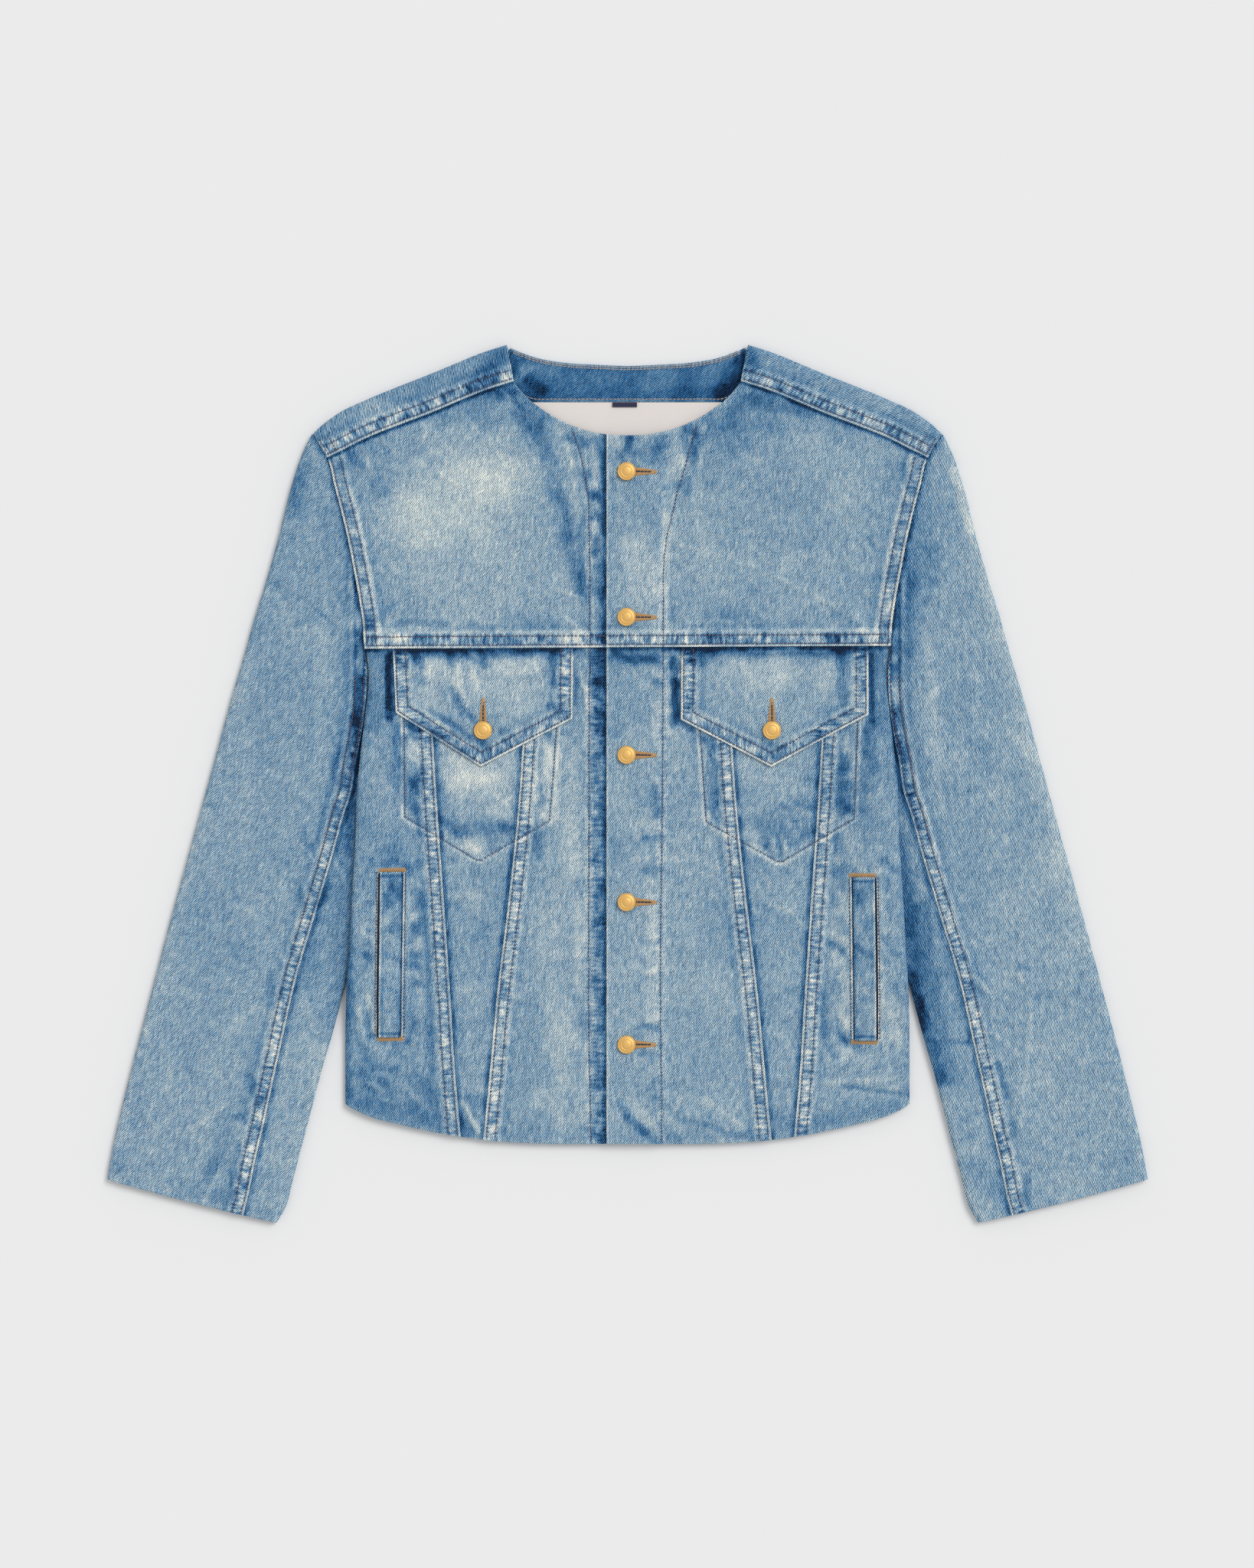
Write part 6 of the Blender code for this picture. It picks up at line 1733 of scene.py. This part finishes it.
def thread(name, runs, material, radius=THREAD_RADIUS):
    """One mesh of stitches: each run is (start points, end points), and each stitch dips at its ends."""
    start, end = (np.concatenate([run[which] for run in runs]) for which in (0, 1))
    middle, step = (start + end) / 2, end - start
    length = np.linalg.norm(step, axis=1, keepdims=True)
    ahead = step / length
    sideways = np.stack((-ahead[:, 1], ahead[:, 0], np.zeros(len(ahead))), axis=1)
    sideways /= np.linalg.norm(sideways, axis=1, keepdims=True)
    up = np.array((0, 0, 1))
    points = []
    for share, size, height in STITCH_RINGS:
        center = middle + ahead * length * share + up * height
        for angle in np.arange(STITCH_SIDES) * 2 * np.pi / STITCH_SIDES:
            points.append(center + radius * size * (sideways * np.cos(angle) + up * np.sin(angle)))
    sides = np.array(ring_faces(len(STITCH_RINGS), STITCH_SIDES))
    first = np.arange(STITCH_SIDES)
    caps = np.array((first[::-1], first + (len(STITCH_RINGS) - 1) * STITCH_SIDES))
    offset = np.arange(len(start))[:, None, None] * len(points)
    faces = [face for kind in (sides, caps) for face in (kind + offset).reshape(-1, kind.shape[1]).tolist()]
    piece = fill_mesh(name, np.stack(points, axis=1).reshape(-1, 3), faces, material, 80)
    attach(piece, "root")


def laid_on(side, plan, height, above):
    """Points a little above a height function, over plan points."""
    x, y = plan.T
    return stack(side * x, y, height(side, x, y) + above)


def stitched(side, chain, height, seed, long=STITCH_LONG):
    """Stitches along a chain of plan points, lying on the height function."""
    chain = np.asarray(chain, float)
    length = run_length(chain)
    count = max(2, int(length[-1] / STITCH_PITCH) + 1)
    at = (np.arange(count) + 0.3) * length[-1] / count
    spots = read_chain(chain, length, at)
    step = read_chain(chain, length, at + 0.01) - spots
    ahead = step / np.hypot(*step.T)[:, None]
    stray = STITCH_STRAY * noise(*spots.T / 7, seed + 5)[:, None] * ahead[:, ::-1] * (1, -1)
    return [laid_on(side, spots + stray + half * long * ahead, height, STITCH_ABOVE) for half in (-0.5, 0.5)]


def beside(rows, keys, off, by_x=False):
    """Plan points of a (key, value) curve's parallel at a distance."""
    slope = (smooth(rows, keys + 1) - smooth(rows, keys - 1)) / 2
    size = np.sqrt(1 + slope * slope)
    chain = keys - off * slope / size, smooth(rows, keys) + off / size
    return np.stack(chain if by_x else chain[::-1], axis=1)


def off_hem(chain):
    """The part of a chain that keeps clear of the hem."""
    return chain[above_hem(*chain.T) > HEM_CLEAR]


def inset_chain(corners, off):
    """A chain of corners moved to its left by a distance, kept parallel."""
    corners = np.asarray(corners, float)
    steps = np.diff(corners, axis=0)
    steps /= np.hypot(*steps.T)[:, None]
    normals = np.stack((-steps[:, 1], steps[:, 0]), axis=1)
    bisectors = normals[:-1] + normals[1:]
    bisectors /= np.sum(bisectors * normals[1:], axis=1)[:, None]
    return corners + off * np.concatenate((normals[:1], bisectors, normals[-1:]))


def shoulder_top(side, x, y):
    """Height of the back yoke over the shoulder."""
    return body_over(side, x, y) + band(from_line(SHOULDER_SEAM, x, y)) + shoulder_wear(side, x, y)[1]


def lower_top(side, x, y):
    """Height of the front below the chest seam."""
    outside = np.where(from_line(SIDE_SEAM, y, x) > 0, side_top(side, x, y), mid_top(side, x, y))
    return np.where(from_line(CENTER_SEAM, y, x) < 0, center_top(side, x, y), outside)


def sew_body(side, end, material):
    """The stitch lines of one half of the front."""
    lower = np.linspace(HEM_Y, CHEST_Y - 1.2, 200)
    shoulder_low = SHOULDER_SEAM[-1][1]
    chest_x = np.linspace(PLACKET_EDGE + 1.5 if side == LEFT else -PLACKET_EDGE + 1,
                          smooth(ARMHOLE, CHEST_Y) - 2, 100)
    shoulder_x = np.linspace(NECK_CORNER + 1.5, SHOULDER_END - 2, 100)
    arm_y = np.linspace(CHEST_Y + 2, shoulder_low - 2, 100)
    arm_top_y = np.linspace(shoulder_low + 1.5, ARMHOLE[-1][0] - FOLD_REACH, 20)
    line = FACING_LINES[side]
    welt = np.array(welt_corners(side))
    rows = []
    for row in TWIN_ROWS:
        rows += [(off_hem(beside(CENTER_SEAM, lower, -row)), center_top, 1),
                 (off_hem(beside(SIDE_SEAM, lower, row)), side_top, 2),
                 (np.stack((chest_x, chest_y(side, chest_x) + row), axis=1), yoke_top, 3),
                 (beside(ARMHOLE, arm_y, -row), yoke_top, 4),
                 (beside(SHOULDER_SEAM, shoulder_x, row, by_x=True), shoulder_top, 5),
                 (beside(ARMHOLE, arm_top_y, -row), shoulder_top, 12)]
    rows += [(off_hem(beside(line, lower, 0)), center_top, 6),
             (beside(line, np.linspace(CHEST_Y + 1.0, line[-1][0] - 2, 100), 0), yoke_top, 7),
             (POCKETS[side], lower_top, 8), (welt[:2], lower_top, 9), (welt[2:4], lower_top, 10)]
    thread("stitches_front" + end, [stitched(side, *row) for row in rows], material)


def sew_flap(side, end, material):
    """The twin stitch rows round a flap."""
    runs = []
    for row in FLAP_ROWS:
        chain = inset_chain(flap_outline(side), row)
        chain[0][1] = chain[-1][1] = CHEST_Y - 1.5
        runs += [stitched(side, chain[k:k + 2], flap_top, 11 + k) for k in range(len(chain) - 1)]
    thread("stitches_flap" + end, runs, material)


def sew_sleeve(side, end, material):
    """The twin stitch rows along a sleeve's front seam."""
    y = np.linspace(SLEEVE_SEAM[0][0] + 1, 84, 300)
    runs = [stitched(side, beside(SLEEVE_SEAM, y, row), sleeve_top, 21) for row in TWIN_ROWS]
    thread("stitches_sleeve" + end, runs, material)


def sew_neck(material):
    """The stitch rows along the neck facing's upper and lower edges."""
    x = np.linspace(-NECK_HALF + 5, NECK_HALF - 5, 120)
    rows = [(x, smooth(BACK_NECK, np.abs(x)) - off, 31) for off in (1.5, 3.0)]
    x = np.linspace(-FACING_HALF + 4, FACING_HALF - 4, 120)
    rows.append((x, facing_low(x) + 2.2, 32))
    runs = [stitched(LEFT, np.stack((x, y), axis=1), lambda side, u, v: facing_top(u, v), seed)
            for x, y, seed in rows]
    thread("stitches_neck", runs, material)


def satin(side, spot, start, end, half_start, half_end, count, height, gap=0.0):
    """Side by side stitches across an axis near a spot: a bartack, or the two lips of a buttonhole."""
    start, step = np.add(spot, start), np.subtract(end, start)
    across = np.array((-step[1], step[0])) / np.hypot(*step)
    share = (np.arange(count)[:, None] + 0.5) / count
    half = half_start + (half_end - half_start) * share
    spots = start + step * share
    lean = step / count * SATIN_LEAN
    lips = ((-half, half),) if not gap else ((gap, half), (-gap, -half))
    return [[laid_on(side, spots + across * low, height, SATIN_ABOVE),
             laid_on(side, spots + across * high + lean, height, SATIN_ABOVE)] for low, high in lips]


# Columns: start and end of a buttonhole's sewing from its button's middle, its half width at both ends,
# stitches, and half the gap between its lips.
PLACKET_HOLE = (((5.5, 0), (21.5, -0.3), 3.6, 1.5, 24, 0.35), ((19.6, -0.2), (23.4, -0.3), 1.5, 0.8, 6, 0))
FLAP_HOLE = (((0, 5.5), (0, 23.0), 3.3, 1.4, 24, 0.35), ((0, 21.5), (0, 25.0), 1.5, 0.8, 6, 0))
# Start and end of the dark cut in each, a ribbon of painted shadow.
PLACKET_SLOT = ((6, 0), (19.5, -0.2))
FLAP_SLOT = ((0, 6), (0, 20.5))


def holes():
    """Side, button's middle, cloth's height function, sewing, slot and seed of each buttonhole."""
    placket = [(LEFT, (BUTTON_X, y), yoke_top if y > CHEST_Y else center_top, PLACKET_HOLE, PLACKET_SLOT, 41)
               for y in BUTTON_YS]
    return placket + [(side, (FLAP_BUTTON_X, FLAP_BUTTON_Y), flap_top, FLAP_HOLE, FLAP_SLOT, 42)
                      for side, _ in SIDES]


def buttonholes(material, slot_shade_material):
    """The sewn lips of the buttonholes, and ribbons of painted shadow in the cuts between them."""
    lips, slot_shadows = [], []
    for side, spot, height, sewing, slot, seed in holes():
        for *shape, gap in sewing:
            lips += satin(side, spot, *shape, height, gap)
        slot_shadows.append(stitched(side, np.add(spot, slot), height, seed))
    thread("buttonholes", lips, material, HOLE_RADIUS)
    thread("buttonhole_slot_shadows", slot_shadows, slot_shade_material, SLOT_RADIUS)


def slits(material):
    """Dark ribbons of painted shadow in the opening along each welt's outer edge, and a thin one along its
    inner edge.
    """
    for name, reach, radius in SLIT_SHADOWS:
        runs = []
        for side, _ in SIDES:
            low, top = WELT_ENDS[side]
            y = np.linspace(low + 2.5, top - 2.5, 60)
            chain = np.stack((welt_line(side, y) + reach + 0.2 * noise(y / 25, 0, 44), y), axis=1)
            runs.append(stitched(side, chain, side_top, 43, long=SLIT_LONG))
        thread("pocket_slit_shadows_" + name, runs, material, radius)


def bartacks(material):
    """The satin bars across both ends of each hand pocket."""
    runs = []
    bar = (-3.2, 0), (WELT_WIDE + 0.8, -0.5), 1.9, 1.9, 24
    for side, _ in SIDES:
        low, top = WELT_ENDS[side]
        for spot in ((WELT_IN, top + 1.6), (WELT_IN - WELT_SLANT, low - 1.0)):
            runs += satin(side, spot, *bar, side_top)
    thread("bartacks", runs, material, TACK_RADIUS)


# ---------------------------------------------------------------- buttons

# Columns: radius and height as shares of the button's radius, from the foot up to the crown.
BUTTON_PROFILE = ((0.55, 0.0), (0.60, 0.12), (0.93, 0.14), (0.985, 0.18), (1.0, 0.25), (0.985, 0.32),
                  (0.95, 0.365), (0.905, 0.375), (0.87, 0.35), (0.85, 0.325), (0.82, 0.325), (0.79, 0.345),
                  (0.66, 0.385), (0.60, 0.398), (0.575, 0.385), (0.555, 0.372), (0.53, 0.372), (0.51, 0.388),
                  (0.485, 0.405), (0.36, 0.43), (0.2, 0.45), (0.0, 0.457))
BUTTON_SIDES = 72


def button(name, x, y, height, material):
    """A domed shank button with a rolled rim and one plain ring pressed into its face."""
    angles = np.arange(BUTTON_SIDES) * 2 * np.pi / BUTTON_SIDES
    z = float(height) + LAYER_GAP
    *rings, (_, crown) = np.array(BUTTON_PROFILE) * BUTTON_RADIUS
    points = [stack(x + np.cos(angles) * radius, y + np.sin(angles) * radius, z + rise)
              for radius, rise in rings]
    points.append(np.array([[x, y, z + crown]]))
    last, top = (len(rings) - 1) * BUTTON_SIDES, len(rings) * BUTTON_SIDES
    faces = [list(range(BUTTON_SIDES))[::-1]] + ring_faces(len(rings), BUTTON_SIDES)
    faces += [(last + k, last + (k + 1) % BUTTON_SIDES, top) for k in range(BUTTON_SIDES)]
    place(fill_mesh(name + "_dressed", np.concatenate(points), faces, material), name, "brass")


# ---------------------------------------------------------------- floor, light and camera

FRAME_TALL = 2048 * 0.59
CAMERA_LENS, SENSOR = 85.0, 36.0
CAMERA_SHIFT = (-0.3, -0.3)
WORLD_STRENGTH, SUN_STRENGTH = 0.62, 1.35
SUN_SOFTNESS = 30
SUN_TURN = (-24, 32, 0)
# Metres.
FLOOR_SIZE, FLOOR_DROP, VIEW_END = 30, 0.0003, 50
FLOOR_COLOR = (240, 240, 240)


def link(name, data):
    """A new object in the scene."""
    item = bpy.data.objects.new(name, data)
    bpy.context.scene.collection.objects.link(item)
    return item


def studio():
    """A pale floor, soft light and the camera straight above."""
    floor_material = bpy.data.materials.new("floor")
    Nodes(floor_material).set({"Base Color": (*linear(FLOOR_COLOR), 1), "Roughness": 1.0,
                               "Specular IOR Level": 0.0})
    bpy.ops.mesh.primitive_plane_add(size=FLOOR_SIZE, location=(0, 0, -FLOOR_DROP))
    floor = bpy.context.object
    floor.name = "floor"
    floor.data.materials.append(floor_material)

    scene = bpy.context.scene
    scene.world = bpy.data.worlds.new("studio")
    scene.world.use_nodes = True
    background = scene.world.node_tree.nodes["Background"]
    background.inputs["Color"].default_value = (1, 1, 1, 1)
    background.inputs["Strength"].default_value = WORLD_STRENGTH

    light = bpy.data.lights.new("key", "SUN")
    light.energy = SUN_STRENGTH
    light.angle = np.radians(SUN_SOFTNESS)
    link("key", light).rotation_euler = np.radians(SUN_TURN)

    lens = bpy.data.cameras.new("camera")
    lens.lens, lens.sensor_width, lens.clip_end = CAMERA_LENS, SENSOR, VIEW_END
    scene.camera = link("camera", lens)
    distance = FRAME_TALL * CAMERA_LENS / SENSOR + BODY_THICK
    scene.camera.location = (CAMERA_SHIFT[0] * MM, CAMERA_SHIFT[1] * MM, distance * MM)
    scene.view_settings.view_transform = "Standard"
    # Smoothed guides would blur the weave away.
    scene.cycles.denoising_prefilter = "NONE"


def main():
    """The light and camera, the materials, and every piece."""
    studio()
    cloth = denim("denim_front")
    facing = denim("denim_facing", 0.8)
    lining = plain("lining_cloth", (229, 222, 218), 0.9, mottle=0.03, size=0.8, bump=0.3)
    navy = plain("navy_tab_cloth", (40, 42, 72), 0.85, mottle=0.2, size=0.6, bump=0.4)
    taupe = plain("thread_taupe", (96, 84, 96), 0.9, mottle=0.3, size=4)
    tan = plain("thread_tan", (198, 156, 104), 0.75, mottle=0.15, size=1.2)
    brass = plain("brass", (236, 190, 112), 0.5, metallic=0.6, mottle=0.06, size=0.5, bump=0.25)

    back_yoke("back_yoke", cloth)
    back_center("back_center", cloth)
    neck_facing("neck_facing", facing)
    yoke_lining("yoke_lining", neck_tab("neck_tab", navy), lining)
    for side, end in SIDES:
        back_side("back_side" + end, side, cloth)
        front_yoke("front_yoke" + end, side, cloth)
        front_center("front_center" + end, side, cloth)
        front_mid("front_mid" + end, side, cloth)
        front_side("front_side" + end, side, cloth)
        pocket_flap("pocket_flap" + end, side, cloth)
        pocket_welt("pocket_welt" + end, side, cloth)
        sleeve(side, end, cloth)
        sew_body(side, end, taupe)
        sew_flap(side, end, taupe)
        sew_sleeve(side, end, taupe)
        top = flap_over(side, FLAP_BUTTON_X, FLAP_BUTTON_Y)
        button("flap_button" + end, side * FLAP_BUTTON_X, FLAP_BUTTON_Y, top, brass)
    sew_neck(plain("thread_pale", (176, 162, 152), 0.9, mottle=0.25, size=4))
    # Dark ribbons of painted shadow in the buttonhole cuts and in the pocket slits.
    buttonholes(tan, plain("slot_shade", (46, 44, 58), 0.95))
    slits(plain("slit_shade", (16, 24, 44), 0.95))
    bartacks(tan)
    for count, y in enumerate(BUTTON_YS, 1):
        button("button_%d" % count, BUTTON_X, y, body_over(LEFT, BUTTON_X, y) + PLACKET_RISE, brass)


main()
